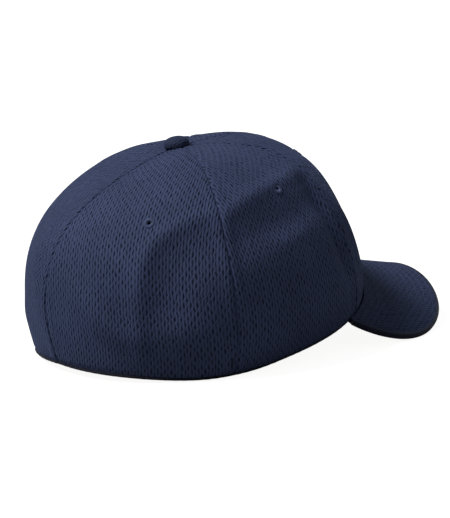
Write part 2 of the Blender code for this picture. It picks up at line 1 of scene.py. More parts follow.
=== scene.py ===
"""Looks of the six-panel closed-back baseball cap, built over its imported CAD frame.

Everything is in metres in the CAD frame: +Z up, visor towards -Y, wearer's right at -X. Angles
round the crown start at the front and grow towards +X.
"""

import json
import math

import bpy
import numpy as np
from mathutils import Matrix, Vector


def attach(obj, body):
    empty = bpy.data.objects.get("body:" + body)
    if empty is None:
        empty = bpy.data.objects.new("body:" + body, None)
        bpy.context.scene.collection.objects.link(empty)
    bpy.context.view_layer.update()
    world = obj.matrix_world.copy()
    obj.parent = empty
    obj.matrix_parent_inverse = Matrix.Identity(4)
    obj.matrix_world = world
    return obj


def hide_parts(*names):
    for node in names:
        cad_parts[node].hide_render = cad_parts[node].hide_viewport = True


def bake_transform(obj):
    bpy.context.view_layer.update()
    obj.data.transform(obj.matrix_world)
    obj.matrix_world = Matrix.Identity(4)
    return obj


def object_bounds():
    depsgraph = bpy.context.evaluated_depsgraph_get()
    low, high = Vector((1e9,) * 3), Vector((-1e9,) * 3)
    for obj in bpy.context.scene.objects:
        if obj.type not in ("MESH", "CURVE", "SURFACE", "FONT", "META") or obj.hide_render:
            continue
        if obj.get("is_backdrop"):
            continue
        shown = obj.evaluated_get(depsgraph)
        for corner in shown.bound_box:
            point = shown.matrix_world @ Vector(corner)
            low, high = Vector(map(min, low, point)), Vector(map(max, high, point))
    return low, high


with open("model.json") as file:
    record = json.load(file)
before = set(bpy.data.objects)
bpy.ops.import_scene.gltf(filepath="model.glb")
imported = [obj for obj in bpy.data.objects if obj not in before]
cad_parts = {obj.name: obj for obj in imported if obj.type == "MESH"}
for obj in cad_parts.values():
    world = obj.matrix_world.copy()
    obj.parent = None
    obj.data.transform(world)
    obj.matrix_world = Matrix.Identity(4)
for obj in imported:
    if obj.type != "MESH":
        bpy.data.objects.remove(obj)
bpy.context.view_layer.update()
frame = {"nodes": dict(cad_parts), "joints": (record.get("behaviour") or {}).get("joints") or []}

# ---------------------------------------------------------------------------------------------
# Studio: a pale floor under soft light, brightest from beyond the cap's front left, and a long
# lens behind the wearer's right shoulder, a little above the rim.

CAMERA_AZIMUTH, CAMERA_ELEVATION, CAMERA_ROLL = 234.14, 11.61, -2.54
CAMERA_TARGET = Vector((0.00169, 0.00393, 0.04733))
CAMERA_DISTANCE, CAMERA_LENS = 1.408, 187.8
FLOOR_HALF_SIZE = 8.0
FLOOR_GREY = 0.28
FLOOR_GLOW = 0.93
SKY_LIGHT = 0.25
KEY_STRENGTH, KEY_SOFTNESS = 3.6, 20.0
KEY_AZIMUTH, KEY_ELEVATION = 152.0, 56.0
FILL_STRENGTH, FILL_SOFTNESS = 0.12, 70.0
FILL_AZIMUTH, FILL_ELEVATION = 262.0, 30.0

scene = bpy.context.scene
scene.view_settings.view_transform = "Standard"
scene.view_settings.look = "None"


def direction(azimuth, elevation):
    """Unit vector from the cap towards a place at this azimuth and elevation in degrees."""
    a, e = math.radians(azimuth), math.radians(elevation)
    return Vector((math.sin(a) * math.cos(e), -math.cos(a) * math.cos(e), math.sin(e)))


camera = bpy.data.objects.new("camera", bpy.data.cameras.new("camera"))
scene.collection.objects.link(camera)
camera.data.sensor_width = 36.0
camera.data.sensor_fit = "HORIZONTAL"
camera.data.lens = CAMERA_LENS
camera.data.clip_start, camera.data.clip_end = 0.05, 50.0
backward = direction(CAMERA_AZIMUTH, CAMERA_ELEVATION)
level = Vector((math.cos(math.radians(CAMERA_AZIMUTH)), math.sin(math.radians(CAMERA_AZIMUTH)), 0.0))
rightward = Matrix.Rotation(math.radians(CAMERA_ROLL), 3, backward) @ level
upward = backward.cross(rightward)
camera.matrix_world = Matrix.Translation(CAMERA_TARGET + CAMERA_DISTANCE * backward) @ Matrix(
    (rightward, upward, backward)
).transposed().to_4x4()
scene.camera = camera


def add_sun(name, azimuth, elevation, strength, softness):
    lamp = bpy.data.lights.new(name, "SUN")
    lamp.energy, lamp.angle = strength, math.radians(softness)
    sun = bpy.data.objects.new(name, lamp)
    sun.rotation_mode = "QUATERNION"
    sun.rotation_quaternion = direction(azimuth, elevation).to_track_quat("Z", "Y")
    scene.collection.objects.link(sun)


add_sun("key_light", KEY_AZIMUTH, KEY_ELEVATION, KEY_STRENGTH, KEY_SOFTNESS)
add_sun("fill_light", FILL_AZIMUTH, FILL_ELEVATION, FILL_STRENGTH, FILL_SOFTNESS)

def add_node(tree, kind, inputs, **settings):
    """One shader node with these settings; its inputs are numbers, colours or sockets."""
    node = tree.nodes.new("ShaderNode" + kind)
    for label, value in settings.items():
        setattr(node, label, value)
    for label, value in inputs.items():
        if isinstance(value, bpy.types.NodeSocket):
            tree.links.new(value, node.inputs[label])
        else:
            node.inputs[label].default_value = value
    return node


world = bpy.data.worlds.new("studio")
world.use_nodes = True
scene.world = world
sky = world.node_tree.nodes["Background"]
sky.inputs["Color"].default_value = (0.97, 0.98, 1.0, 1.0)
sky.inputs["Strength"].default_value = SKY_LIGHT
backdrop = add_node(world.node_tree, "Background", {"Color": (1.0, 1.0, 1.0, 1.0)})
seen = add_node(world.node_tree, "LightPath", {}).outputs["Is Camera Ray"]
shares = {0: seen, 1: sky.outputs[0], 2: backdrop.outputs[0]}
choice = add_node(world.node_tree, "MixShader", shares)
world.node_tree.links.new(choice.outputs[0], world.node_tree.nodes["World Output"].inputs["Surface"])

floor_mesh = bpy.data.meshes.new("floor")
half = FLOOR_HALF_SIZE
corners = [(-half, -half, 0.0), (half, -half, 0.0), (half, half, 0.0), (-half, half, 0.0)]
floor_mesh.from_pydata(corners, [], [(0, 1, 2, 3)])
floor = bpy.data.objects.new("floor", floor_mesh)
scene.collection.objects.link(floor)
floor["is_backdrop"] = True
floor_paint = bpy.data.materials.new("pale_floor")
floor_paint.use_nodes = True
floor_shader = floor_paint.node_tree.nodes["Principled BSDF"]
floor_shader.inputs["Base Color"].default_value = (FLOOR_GREY, FLOOR_GREY, FLOOR_GREY, 1.0)
floor_shader.inputs["Roughness"].default_value = 0.9
floor_shader.inputs["Specular IOR Level"].default_value = 0.1
floor_shader.inputs["Emission Color"].default_value = (1.0, 1.0, 0.995, 1.0)
floor_seen = add_node(floor_paint.node_tree, "LightPath", {}).outputs["Is Camera Ray"]
glow = {0: floor_seen, 1: FLOOR_GLOW}
floor_glow = add_node(floor_paint.node_tree, "Math", glow, operation="MULTIPLY")
floor_paint.node_tree.links.new(floor_glow.outputs[0], floor_shader.inputs["Emission Strength"])
floor_mesh.materials.append(floor_paint)

# ---------------------------------------------------------------------------------------------
# Crown panels: six pieces of athletic mesh knit, sewn edge to edge with the allowances turned
# in and opened flat, so each seam is a narrow groove between two slightly puffed strips.

APEX, APEX_BACK, APEX_SHIFT_POWER = 0.1196, 0.004, 6
FRONT_PROFILE = (
    (0.1024, 0.0), (0.0965, 0.0435), (0.0928, 0.089), (0.077, 0.1335), (0.0475, 0.1242), (0.0, APEX),
)
SIDE_PROFILE = (
    (0.0875, 0.0), (0.1063, 0.0365), (0.0947, 0.088), (0.0675, 0.119), (0.0315, 0.122), (0.0, APEX),
)
BACK_PROFILE = (
    (0.094, 0.0), (0.1026, 0.0295), (0.1115, 0.0845), (0.0825, 0.0925), (0.0275, 0.1165), (0.0, APEX),
)
FRONT_SQUARENESS, BACK_SQUARENESS = 2.43, 2.1
FRONT_RIM_RISE, FRONT_RISE_FALL = 0.035, 1.62
BACK_RIM_RISE, RIM_FADE = 0.0044, 5
SIDE_DIP, SIDE_DIP_ANGLE, SIDE_DIP_SPREAD = 0.0025, 114.0, 24.0
PANEL_FLATNESS, FLATNESS_SKEW = 0.19, 0.7
SEAMS = np.radians((-180.0, -108.5, -53.0, 0.0, 53.0, 108.5, 180.0))
EAR_ANGLE = math.radians(57.5)
PANEL_NAMES = ("back_right", "side_right", "front_right", "front_left", "side_left", "back_left")
PANEL_THICK = 0.0007
PANEL_COLUMNS, PANEL_ROWS = 120, 150
PANEL_EDGE_CROWDING = 0.72
PANEL_TIP_RADIUS = 0.0025
NORMAL_STEP_ROUND, NORMAL_STEP_UP = 0.03, 0.004
SEAM_GROOVE_DEPTH, SEAM_GROOVE_WIDTH = 0.0009, 0.0007
ALLOWANCE_PUFF, ALLOWANCE_CENTRE, ALLOWANCE_SPREAD = 0.00022, 0.0036, 0.0018
RIM_ROLL_DEPTH, RIM_ROLL_WIDTH = 0.0007, 0.0016
EYELETS = (("front", 25.5, 0.090), ("side", 77.0, 0.0975), ("back", 137.3, 0.090))
EYELET_HOLE_RADIUS, EYELET_PUCKER, EYELET_PUCKER_RADIUS = 0.0021, 0.0004, 0.0046
# NAVY_DEEP is the painted shade in the knit's holes, between its cords and between its ribs.
NAVY_LIGHT, NAVY_DEEP = (0.043, 0.058, 0.126), (0.0055, 0.0072, 0.018)
RIB_PITCH, COURSE_PITCH = 0.00065, 0.00051


def bezier(control, t):
    """Bezier curve: sum over k of C(n, k) t^k (1 - t)^(n - k) P_k."""
    degree = len(control) - 1
    t = np.asarray(t, float)[..., None]
    weights = [math.comb(degree, k) * t**k * (1 - t) ** (degree - k) for k in range(degree + 1)]
    return sum(weight * np.array(point) for weight, point in zip(weights, control))


def bell(distance, width):
    """exp(-(distance / width)^2): 1 at no distance, fading to nothing past two widths."""
    return np.exp(-((distance / width) ** 2))


def unit(vectors):
    """Vectors of length 1 along the last axis."""
    return vectors / np.linalg.norm(vectors, axis=-1, keepdims=True)


def round_crown(angle, t):
    """Front, side and back profiles joined by a superellipse plan. The rim rises by
    A exp(-k (1 - cos angle)) to the front and B cos^2 angle behind, and dips in a bell to each
    side; the whole leans back with height by APEX_BACK t^6."""
    forward, sideways = np.cos(angle), np.sin(angle)
    ahead = forward > 0
    side = bezier(SIDE_PROFILE, t)
    end = np.where(ahead[..., None], bezier(FRONT_PROFILE, t), bezier(BACK_PROFILE, t))
    power = np.where(ahead, FRONT_SQUARENESS, BACK_SQUARENESS)
    reach = (np.abs(sideways) ** power + np.abs(forward) ** power) ** (-1 / power)
    from_dip = (np.degrees(np.arccos(np.clip(forward, -1, 1))) - SIDE_DIP_ANGLE) / SIDE_DIP_SPREAD
    rim = FRONT_RIM_RISE * np.exp(-FRONT_RISE_FALL * (1 - forward)) - SIDE_DIP * np.exp(-(from_dip**2))
    rim = rim + BACK_RIM_RISE * np.maximum(0, -forward) ** 2
    height = forward**2 * end[..., 1] + sideways**2 * side[..., 1] + rim * (1 - t) ** RIM_FADE
    back = APEX_BACK * t**APEX_SHIFT_POWER - end[..., 0] * forward * reach
    return np.stack([side[..., 0] * sideways * reach, back, height], -1)


def bare_skin(angle, t):
    """Crown surface about its own axis: each panel pulled part way to the line between its seams."""
    angle, t = np.broadcast_arrays(np.asarray(angle, float), np.clip(t, 0, 1))
    angle = (angle + np.pi) % (2 * np.pi) - np.pi
    panel = np.clip(np.searchsorted(SEAMS, angle, side="right") - 1, 0, len(SEAMS) - 2)
    left, right = SEAMS[panel], SEAMS[panel + 1]
    across = ((angle - left) / (right - left))[..., None]
    straight = round_crown(left, t) * (1 - across) + round_crown(right, t) * across
    pull = PANEL_FLATNESS * np.sin(np.pi * t**FLATNESS_SKEW)[..., None]
    return round_crown(angle, t) * (1 - pull) + straight * pull


visor_joint = next(joint for joint in frame["joints"] if joint["name"] == "visor_flex")
EAR = bare_skin(EAR_ANGLE, 0.0)
SEAT = np.array(visor_joint["pos_m"]) - EAR * (0, 1, 1)


def skin(angle, t):
    """The crown's outer face in the CAD frame."""
    return bare_skin(angle, t) + SEAT


def outward(angle, t):
    """Unit normal of the outer face, from differences wide enough to round off the seams."""
    across = skin(angle + NORMAL_STEP_ROUND, t) - skin(angle - NORMAL_STEP_ROUND, t)
    up = skin(angle, t + NORMAL_STEP_UP) - skin(angle, t - NORMAL_STEP_UP)
    normal = np.cross(across, up)
    return unit(normal)


def up_wall(angles, distance):
    """Profile parameter at this distance up the wall from the rim, for each angle."""
    t = np.linspace(0, 1, 401)
    points = skin(np.asarray(angles)[:, None], t[None])
    arcs = np.cumsum(np.linalg.norm(np.diff(points, axis=1), axis=2), axis=1)
    return np.array([np.interp(distance, arc, t[1:]) for arc in arcs])


def near_button(angles, radius):
    """Profile parameter where the crown is this far from the button's axis, for each angle."""
    t = np.linspace(0.6, 1, 401)
    points = bare_skin(np.asarray(angles)[:, None], t[None])
    radii = np.hypot(points[..., 0], points[..., 1] - APEX_BACK)
    return np.array([np.interp(radius, row[::-1], t[::-1]) for row in radii])


def arc_lengths(points, axis):
    """Distance along one axis of a grid of points, starting at zero."""
    steps = np.linalg.norm(np.diff(points, axis=axis), axis=-1)
    first = np.zeros_like(np.take(steps, [0], axis=axis))
    return np.concatenate([first, np.cumsum(steps, axis=axis)], axis=axis)


def polyline_distance(points, line):
    """Shortest distance from each point to a line of straight pieces, and the share along it."""
    best, share = np.full(points.shape[:-1], np.inf), np.zeros(points.shape[:-1])
    count = len(line) - 1
    for i in range(count):
        way = line[i + 1] - line[i]
        along = np.clip(((points - line[i]) @ way) / (way @ way), 0, 1)
        gap = np.linalg.norm(points - line[i] - along[..., None] * way, axis=-1)
        share = np.where(gap < best, (i + along) / count, share)
        best = np.minimum(best, gap)
    return best, share


# Soft folds in the unpressed cloth: (angle in degrees, t) control points, height, and half width.
FOLDS = (
    (((-106.0, 0.50), (-126.0, 0.50), (-144.0, 0.48), (-141.0, 0.28), (-141.0, 0.06)), 0.0016, 0.0055),
    (((-109.0, 0.40), (-126.0, 0.44), (-134.0, 0.29), (-131.0, 0.06)), -0.0030, 0.0130),
    (((-110.0, 0.46), (-97.0, 0.57), (-70.0, 0.555), (-42.0, 0.62)), 0.0016, 0.0055),
    (((-107.0, 0.36), (-94.0, 0.46), (-72.0, 0.44), (-50.0, 0.47)), -0.0028, 0.0125),
    (((-104.0, 0.20), (-92.0, 0.12), (-72.0, 0.16)), 0.0010, 0.0120),
    (((-90.0, 0.36), (-80.0, 0.37), (-66.0, 0.40)), 0.0008, 0.0060),
    (((-58.5, 0.52), (-57.5, 0.30), (-55.0, 0.04)), -0.0042, 0.0065),
    (((-47.0, 0.46), (-45.5, 0.28), (-43.0, 0.06)), 0.0020, 0.0065),
    (((-168.0, 0.30), (-160.0, 0.22), (-150.0, 0.13)), 0.0012, 0.0070),
    (((-172.0, 0.45), (-165.0, 0.34), (-158.0, 0.27)), -0.0009, 0.0070),
    (((163.0, 0.48), (168.0, 0.35), (175.0, 0.24)), 0.0014, 0.0080),
    (((-30.0, 0.60), (-24.0, 0.45), (-26.0, 0.30)), 0.0008, 0.0110),
    (((26.0, 0.66), (22.0, 0.50), (30.0, 0.34)), 0.0008, 0.0110),
    (((109.0, 0.46), (97.0, 0.56), (70.0, 0.53), (46.0, 0.56)), 0.0011, 0.0075),
    (((104.0, 0.34), (90.0, 0.42), (70.0, 0.41)), -0.0016, 0.0150),
    (((110.0, 0.50), (126.0, 0.47), (140.0, 0.42), (143.0, 0.24)), 0.0011, 0.0080),
    (((-155.0, 0.16), (-138.0, 0.11), (-122.0, 0.15)), 0.0009, 0.0075),
    (((122.0, 0.15), (140.0, 0.10), (158.0, 0.16)), 0.0009, 0.0080),
)
FOLD_START, FOLD_SPAN, FOLD_FADE = 0.08, 0.84, 0.7
RIPPLES, RIPPLE_HEIGHT, RIPPLE_WAVES, RIPPLE_PHASE = 26, 0.00006, (70, 210), 6.28
SEAM_HOLD, SEAM_HOLD_REACH, HEM_FLAT = 0.45, 0.014, 0.010
DENT_SHARE, DENT_LOW, DENT_FADE = 0.35, 0.018, 0.022


def fold_heights(points):
    """How far the cloth stands out of its smooth shape: the folds' bell sections, and small ripples."""
    height = np.zeros(points.shape[:-1])
    for control, rise, spread in FOLDS:
        path = bezier(control, np.linspace(0, 1, 17))
        line = skin(np.radians(path[:, 0]), path[:, 1])
        gap, along = polyline_distance(points, line)
        run = np.sin(np.pi * np.clip(FOLD_START + FOLD_SPAN * along, 0, 1)) ** FOLD_FADE
        height += rise * bell(gap, spread) * run
    chance = np.random.default_rng(11)
    for _ in range(RIPPLES):
        wave = chance.normal(size=3)
        wave *= chance.uniform(*RIPPLE_WAVES) / np.linalg.norm(wave)
        share = chance.uniform(0.2, 1.0)
        height += share * RIPPLE_HEIGHT * np.sin(points @ wave + chance.uniform(0, RIPPLE_PHASE))
    return height


def cloth_folds(points, from_seam, up):
    """The folds as sewn cloth takes them: half held at a seam, flat at the hem, and shallow where
    the sweatband lies behind."""
    free = np.clip(from_seam / SEAM_HOLD_REACH + SEAM_HOLD, 0, 1)
    height = fold_heights(points) * free * np.clip(up / HEM_FLAT, 0, 1)
    return height * np.where(height < 0, np.clip((up - DENT_LOW) / DENT_FADE, DENT_SHARE, 1), 1)


def shell_object(name, outer, inner, keep=None, uv=None, closed=False):
    """A closed sheet from grids of outer and inner points: kept squares, and walls round their edges."""
    columns, rows = outer.shape[:2]
    count = columns * rows
    i, j = np.meshgrid(np.arange(columns if closed else columns - 1), np.arange(rows - 1), indexing="ij")
    k = (i + 1) % columns
    squares = np.stack([i * rows + j, k * rows + j, k * rows + j + 1, i * rows + j + 1], -1)
    squares = squares[keep] if keep is not None else squares.reshape(-1, 4)
    ends = np.concatenate([squares[:, (n, (n + 1) % 4)] for n in range(4)])
    code, back = ends[:, 0] * count + ends[:, 1], ends[:, 1] * count + ends[:, 0]
    rim = ends[~np.isin(code, back)]
    walls = np.stack([rim[:, 1], rim[:, 0], rim[:, 0] + count, rim[:, 1] + count], -1)
    faces = np.concatenate([squares, squares[:, ::-1] + count, walls])
    return mesh_object(name, np.concatenate([outer.reshape(-1, 3), inner.reshape(-1, 3)]), faces, uv, 2)


def mesh_object(name, points, faces, uv=None, copies=1):
    """A smooth mesh object from arrays, without points that no face uses; uv is a grid of (u, v)."""
    used, faces = np.unique(faces, return_inverse=True)
    faces = faces.reshape(-1, 4)
    mesh = bpy.data.meshes.new(name)
    mesh.from_pydata(points[used], [], faces)
    mesh.shade_smooth()
    if uv is not None:
        flat = np.concatenate([uv.reshape(-1, 2)] * copies)[used]
        layer = mesh.uv_layers.new(name="cloth")
        corner = np.empty(len(mesh.loops), np.int32)
        mesh.loops.foreach_get("vertex_index", corner)
        layer.data.foreach_set("uv", flat[corner].astype(np.float32).ravel())
    mesh.set_sharp_from_angle(angle=math.radians(50))
    obj = bpy.data.objects.new(name, mesh)
    scene.collection.objects.link(obj)
    return obj


def panel_spread(columns):
    """Shares across a panel from 0 to 1, crowded towards both seams."""
    even = np.linspace(0, 1, columns + 1)
    return even + PANEL_EDGE_CROWDING * (0.5 - 0.5 * np.cos(np.pi * even) - even)


def wall_grid(turn, t):
    """Points of the outer face at these angles and levels, their normals, and the distances
    along and up the wall."""
    points = skin(turn, t)
    return points, outward(turn, t), arc_lengths(points, 0), arc_lengths(points, 1)


def puckered(point_grid, centre, radius, depth):
    """Height lost round a sewn eyelet: a bell about its centre."""
    gap = np.linalg.norm(point_grid - centre, axis=-1)
    return -depth * bell(gap, radius), gap


def eyelet_place(side, angle, distance):
    """Centre and outward normal of an eyelet on the crown."""
    turn = side * math.radians(angle)
    t = up_wall([turn], distance)[0]
    return skin(turn, t), outward(turn, t)


def new_group(name, inputs, outputs):
    """A node group with a vector input, these numbers as further inputs, and masks as outputs."""
    group = bpy.data.node_groups.new(name, "ShaderNodeTree")
    group.interface.new_socket("Vector", in_out="INPUT", socket_type="NodeSocketVector")
    for label, value in inputs.items():
        socket = group.interface.new_socket(label, in_out="INPUT", socket_type="NodeSocketFloat")
        socket.default_value = value
    for label in outputs:
        group.interface.new_socket(label, in_out="OUTPUT", socket_type="NodeSocketFloat")
    return group, group.nodes.new("NodeGroupInput"), group.nodes.new("NodeGroupOutput")


def add_math(tree, operation, first, second=None, third=None, clamp=False):
    """One Math node; its inputs are numbers or sockets."""
    given = {n: value for n, value in enumerate((first, second, third)) if value is not None}
    return add_node(tree, "Math", given, operation=operation, use_clamp=clamp).outputs[0]


def between(tree, value, low, high, out_low=0.0, out_high=1.0):
    """Smoothly turns a value from low to high into out_low to out_high."""
    limits = {"Value": value, "From Min": low, "From Max": high, "To Min": out_low, "To Max": out_high}
    return add_node(tree, "MapRange", limits, interpolation_type="SMOOTHSTEP").outputs["Result"]


def add_noise(tree, vector, scale, detail=3.0):
    return add_node(tree, "TexNoise", {"Vector": vector, "Scale": scale, "Detail": detail}).outputs["Fac"]


def make_knit_group():
    """Mesh knit: staggered rows of narrow holes between fine upright ribs, put out as masks."""
    sizes = {"Across": 0.0038, "Up": 0.0048, "Hole Half Width": 0.00040, "Hole Half Height": 0.0014}
    group, start, end = new_group("mesh_knit", sizes, ("Hole", "Cord", "Rib", "Patch"))
    vector = start.outputs["Vector"]
    wander = add_node(group, "TexNoise", {"Vector": vector, "Scale": 260.0, "Detail": 2.0}).outputs["Color"]
    shift = {0: wander, 1: (0.0018, 0.0026, 0.0), 2: vector}
    offset = add_node(group, "VectorMath", shift, operation="MULTIPLY_ADD")
    parts = add_node(group, "SeparateXYZ", {0: offset.outputs[0]})
    rings = []
    for shift in (0.0, 0.5):
        squares = []
        pairs = (("X", "Across", "Hole Half Width"), ("Y", "Up", "Hole Half Height"))
        for axis, pitch, size in pairs:
            cell = add_math(group, "DIVIDE", parts.outputs[axis], start.outputs[pitch])
            share = add_math(group, "FRACT", add_math(group, "ADD", cell, shift + 100.0))
            local = add_math(group, "SUBTRACT", share, 0.5)
            length = add_math(group, "MULTIPLY", local, start.outputs[pitch])
            scaled = add_math(group, "DIVIDE", length, start.outputs[size])
            squares.append(add_math(group, "POWER", add_math(group, "ABSOLUTE", scaled), 2.0))
        rings.append(add_math(group, "SQRT", add_math(group, "ADD", squares[0], squares[1])))
    nearest = add_math(group, "MINIMUM", rings[0], rings[1])
    fainter = between(group, add_noise(group, vector, 300.0, 2.0), 0.36, 0.60, 0.35, 1.0)
    hole = between(group, nearest, 1.60, 0.55)
    group.links.new(add_math(group, "MULTIPLY", hole, fainter), end.inputs["Hole"])
    turns_up = add_math(group, "MULTIPLY", parts.outputs["Y"], 4 * math.pi)
    sway = add_math(group, "SINE", add_math(group, "DIVIDE", turns_up, start.outputs["Up"]))
    turns_across = add_math(group, "MULTIPLY", parts.outputs["X"], 4 * math.pi)
    column = add_math(group, "DIVIDE", turns_across, start.outputs["Across"])
    cord = add_math(group, "COSINE", add_math(group, "MULTIPLY_ADD", sway, 0.75, column))
    group.links.new(add_math(group, "MULTIPLY_ADD", cord, -0.5, 0.5), end.inputs["Cord"])
    rib = add_math(group, "SINE", add_math(group, "MULTIPLY", parts.outputs["X"], 2 * math.pi / RIB_PITCH))
    level = add_math(group, "MULTIPLY", parts.outputs["Y"], 2 * math.pi / COURSE_PITCH)
    course = add_math(group, "SINE", level)
    woven = add_math(group, "MULTIPLY_ADD", course, 0.35, rib)
    group.links.new(add_math(group, "MULTIPLY_ADD", woven, 0.37, 0.5, clamp=True), end.inputs["Rib"])
    group.links.new(add_noise(group, vector, 26.0, 4.0), end.inputs["Patch"])
    return group


KNIT_GROUP = make_knit_group()


def cloth_vector(tree):
    """The piece's own map, which holds real distances in metres."""
    node = tree.nodes.new("ShaderNodeUVMap")
    node.uv_map = "cloth"
    return node.outputs["UV"]


def mixed_colour(tree, factor, first, second):
    """Mix node between two colours, each a triple or a socket."""
    node = tree.nodes.new("ShaderNodeMix")
    node.data_type = "RGBA"
    tree.links.new(factor, node.inputs["Factor"])
    for label, colour in (("A", first), ("B", second)):
        socket = next(s for s in node.inputs if s.name == label and s.type == "RGBA")
        if isinstance(colour, tuple):
            socket.default_value = (*colour, 1.0)
        else:
            tree.links.new(colour, socket)
    return next(s for s in node.outputs if s.type == "RGBA")


def add_bump(tree, shader, height, distance, below=None):
    """Bump of this height in metres at full white, over an earlier bump if there is one."""
    inputs = {"Strength": 1.0, "Distance": distance, "Height": height}
    if below is not None:
        inputs["Normal"] = below
    node = add_node(tree, "Bump", inputs)
    tree.links.new(node.outputs["Normal"], shader.inputs["Normal"])
    return node.outputs["Normal"]


def cloth_shader(name, sheen, sheen_tint, specular=0.10):
    """A new material, its tree and its shader, with the constants of soft cloth on the shader."""
    material = bpy.data.materials.new(name)
    material.use_nodes = True
    shader = material.node_tree.nodes["Principled BSDF"]
    shine = {"Sheen Weight": sheen, "Sheen Roughness": 0.45, "Sheen Tint": (*sheen_tint, 1.0)}
    for label, value in {**shine, "Specular IOR Level": specular}.items():
        shader.inputs[label].default_value = value
    return material, material.node_tree, shader


def make_knit(name, light, deep, hole_shade_share, hole_depth, sheen, hole_size=(0.00040, 0.0014), cord_shade=0.26):
    """Mesh knit cloth: a dip in the holes, round cords and fine ribs between, with painted shade: the deep
    colour in the holes, between the cords and between the ribs.
    """
    material, tree, shader = cloth_shader(name, sheen, (0.30, 0.42, 0.85))
    sizes = {"Vector": cloth_vector(tree), "Hole Half Width": hole_size[0], "Hole Half Height": hole_size[1]}
    knit = add_node(tree, "Group", sizes, node_tree=KNIT_GROUP)
    hole, cord, rib, patch = (knit.outputs[label] for label in ("Hole", "Cord", "Rib", "Patch"))
    worn = tuple(0.80 * value for value in light)
    ground = mixed_colour(tree, between(tree, patch, 0.30, 0.70), worn, light)
    # Painted shade: darker between the cords and between the ribs.
    corded = mixed_colour(tree, between(tree, cord, 0.0, 0.8, cord_shade, 0.0), ground, deep)
    ribbed = mixed_colour(tree, between(tree, rib, 0.0, 1.0, 0.16, 0.0), corded, deep)
    # Painted shade: the deep colour in the holes.
    shade = add_math(tree, "MULTIPLY", hole, hole_shade_share)
    tree.links.new(mixed_colour(tree, shade, ribbed, deep), shader.inputs["Base Color"])
    tree.links.new(between(tree, hole, 0.0, 1.0, 0.74, 0.95), shader.inputs["Roughness"])
    ribs = add_bump(tree, shader, cord, 0.00014, add_bump(tree, shader, rib, 0.00006))
    add_bump(tree, shader, add_math(tree, "SUBTRACT", 1.0, hole), hole_depth, ribs)
    return material


crown_knit = make_knit("crown_mesh_knit", NAVY_LIGHT, NAVY_DEEP, 0.95, 0.00040, 0.10)

eyelets = [
    (where, name, *eyelet_place(side, angle, distance))
    for where, angle, distance in EYELETS
    for name, side in (("right", -1), ("left", 1))
]

for index, panel in enumerate(PANEL_NAMES):
    left, right = SEAMS[index], SEAMS[index + 1]
    angles = left + (right - left) * panel_spread(PANEL_COLUMNS)
    tip = near_button(angles, PANEL_TIP_RADIUS)
    t = tip[:, None] * np.linspace(0, 1, PANEL_ROWS + 1)[None]
    points, normal, from_left, up = wall_grid(angles[:, None], t)
    from_seam = np.minimum(from_left, from_left[-1][None] - from_left)
    height = cloth_folds(points, from_seam, up)
    height -= SEAM_GROOVE_DEPTH * bell(from_seam, SEAM_GROOVE_WIDTH)
    height += ALLOWANCE_PUFF * bell(from_seam - ALLOWANCE_CENTRE, ALLOWANCE_SPREAD)
    height -= RIM_ROLL_DEPTH * bell(up, RIM_ROLL_WIDTH)
    keep = np.ones((PANEL_COLUMNS, PANEL_ROWS), bool)
    for where, name, centre, _ in eyelets:
        if panel == where + "_" + name:
            dip, gap = puckered(points, centre, EYELET_PUCKER_RADIUS, EYELET_PUCKER)
            height += dip
            keep = gap[:-1, :-1] > EYELET_HOLE_RADIUS
    outer = points + height[..., None] * normal
    inner = outer - PANEL_THICK * normal
    middle = from_left - from_left[PANEL_COLUMNS // 2][None]
    rise = np.broadcast_to(up[PANEL_COLUMNS // 2][None], middle.shape)
    cloth = shell_object("crown_panel_" + panel, outer, inner, keep, np.stack([middle, rise], -1))
    cloth.data.materials.append(crown_knit)
    node = panel.split("_")[0] + "_panel_" + panel.split("_")[1]
    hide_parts(node)
    width, length = float(from_left[-1].max()), float(up.max())
    if panel.startswith("back"):
        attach(cloth, "crown")
    else:
        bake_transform(cloth)

# ---------------------------------------------------------------------------------------------
# Eyelets: one in each panel, a small hole overcast with close satin stitches of navy thread
# that stand a little proud of the knit on both sides.

EYELET_RING_RADIUS, EYELET_RING_HALF_WIDTH = 0.0022, 0.00122
EYELET_PROUD = 0.00062
EYELET_STITCHES, EYELET_STEPS_A_STITCH, EYELET_SECTION_STEPS = 40, 5, 14
EYELET_RIDGE = 0.16
FRONT_LAYERS, ONE_LAYER = 0.0017, 0.0007
# THREAD_DEEP is painted shade between a thread's strands.
THREAD_NAVY, THREAD_DEEP = (0.085, 0.110, 0.215), (0.024, 0.032, 0.070)


def placed_axes(normal):
    """Unit vectors across and up the wall at a point with this outward normal."""
    across = np.cross((0.0, 0.0, 1.0), normal)
    across /= np.linalg.norm(across)
    return across, np.cross(normal, across)


def tube_faces(count, sides, closed):
    """Squares between each section loop and the next; an open path gets flat ends."""
    i, j = np.meshgrid(np.arange(count if closed else count - 1), np.arange(sides), indexing="ij")
    k, m = (i + 1) % count, (j + 1) % sides
    faces = np.stack([i * sides + j, i * sides + m, k * sides + m, k * sides + j], -1).reshape(-1, 4)
    if closed:
        return faces
    strip = np.array([(n, sides - 1 - n, sides - 2 - n, n + 1) for n in range((sides - 1) // 2)])
    return np.concatenate([faces, strip, strip[:, ::-1] + (count - 1) * sides])


def loft_object(name, rings, closed, uv=None):
    """Section loops (path, section, 3) joined one to the next."""
    obj = mesh_object(name, rings.reshape(-1, 3), tube_faces(*rings.shape[:2], closed), uv)
    turned_out(obj)
    return obj


def turned_out(obj):
    """Turns every face outwards, as a closed mesh's own volume says which way that is."""
    mesh = obj.data
    mesh.calc_loop_triangles()
    points = np.empty(len(mesh.vertices) * 3, np.float32)
    mesh.vertices.foreach_get("co", points)
    corners = np.empty(len(mesh.loop_triangles) * 3, np.int32)
    mesh.loop_triangles.foreach_get("vertices", corners)
    a, b, c = points.reshape(-1, 3)[corners.reshape(-1, 3)].astype(float).transpose(1, 0, 2)
    if np.einsum("ij,ij->i", a, np.cross(b, c)).sum() < 0:
        mesh.flip_normals()


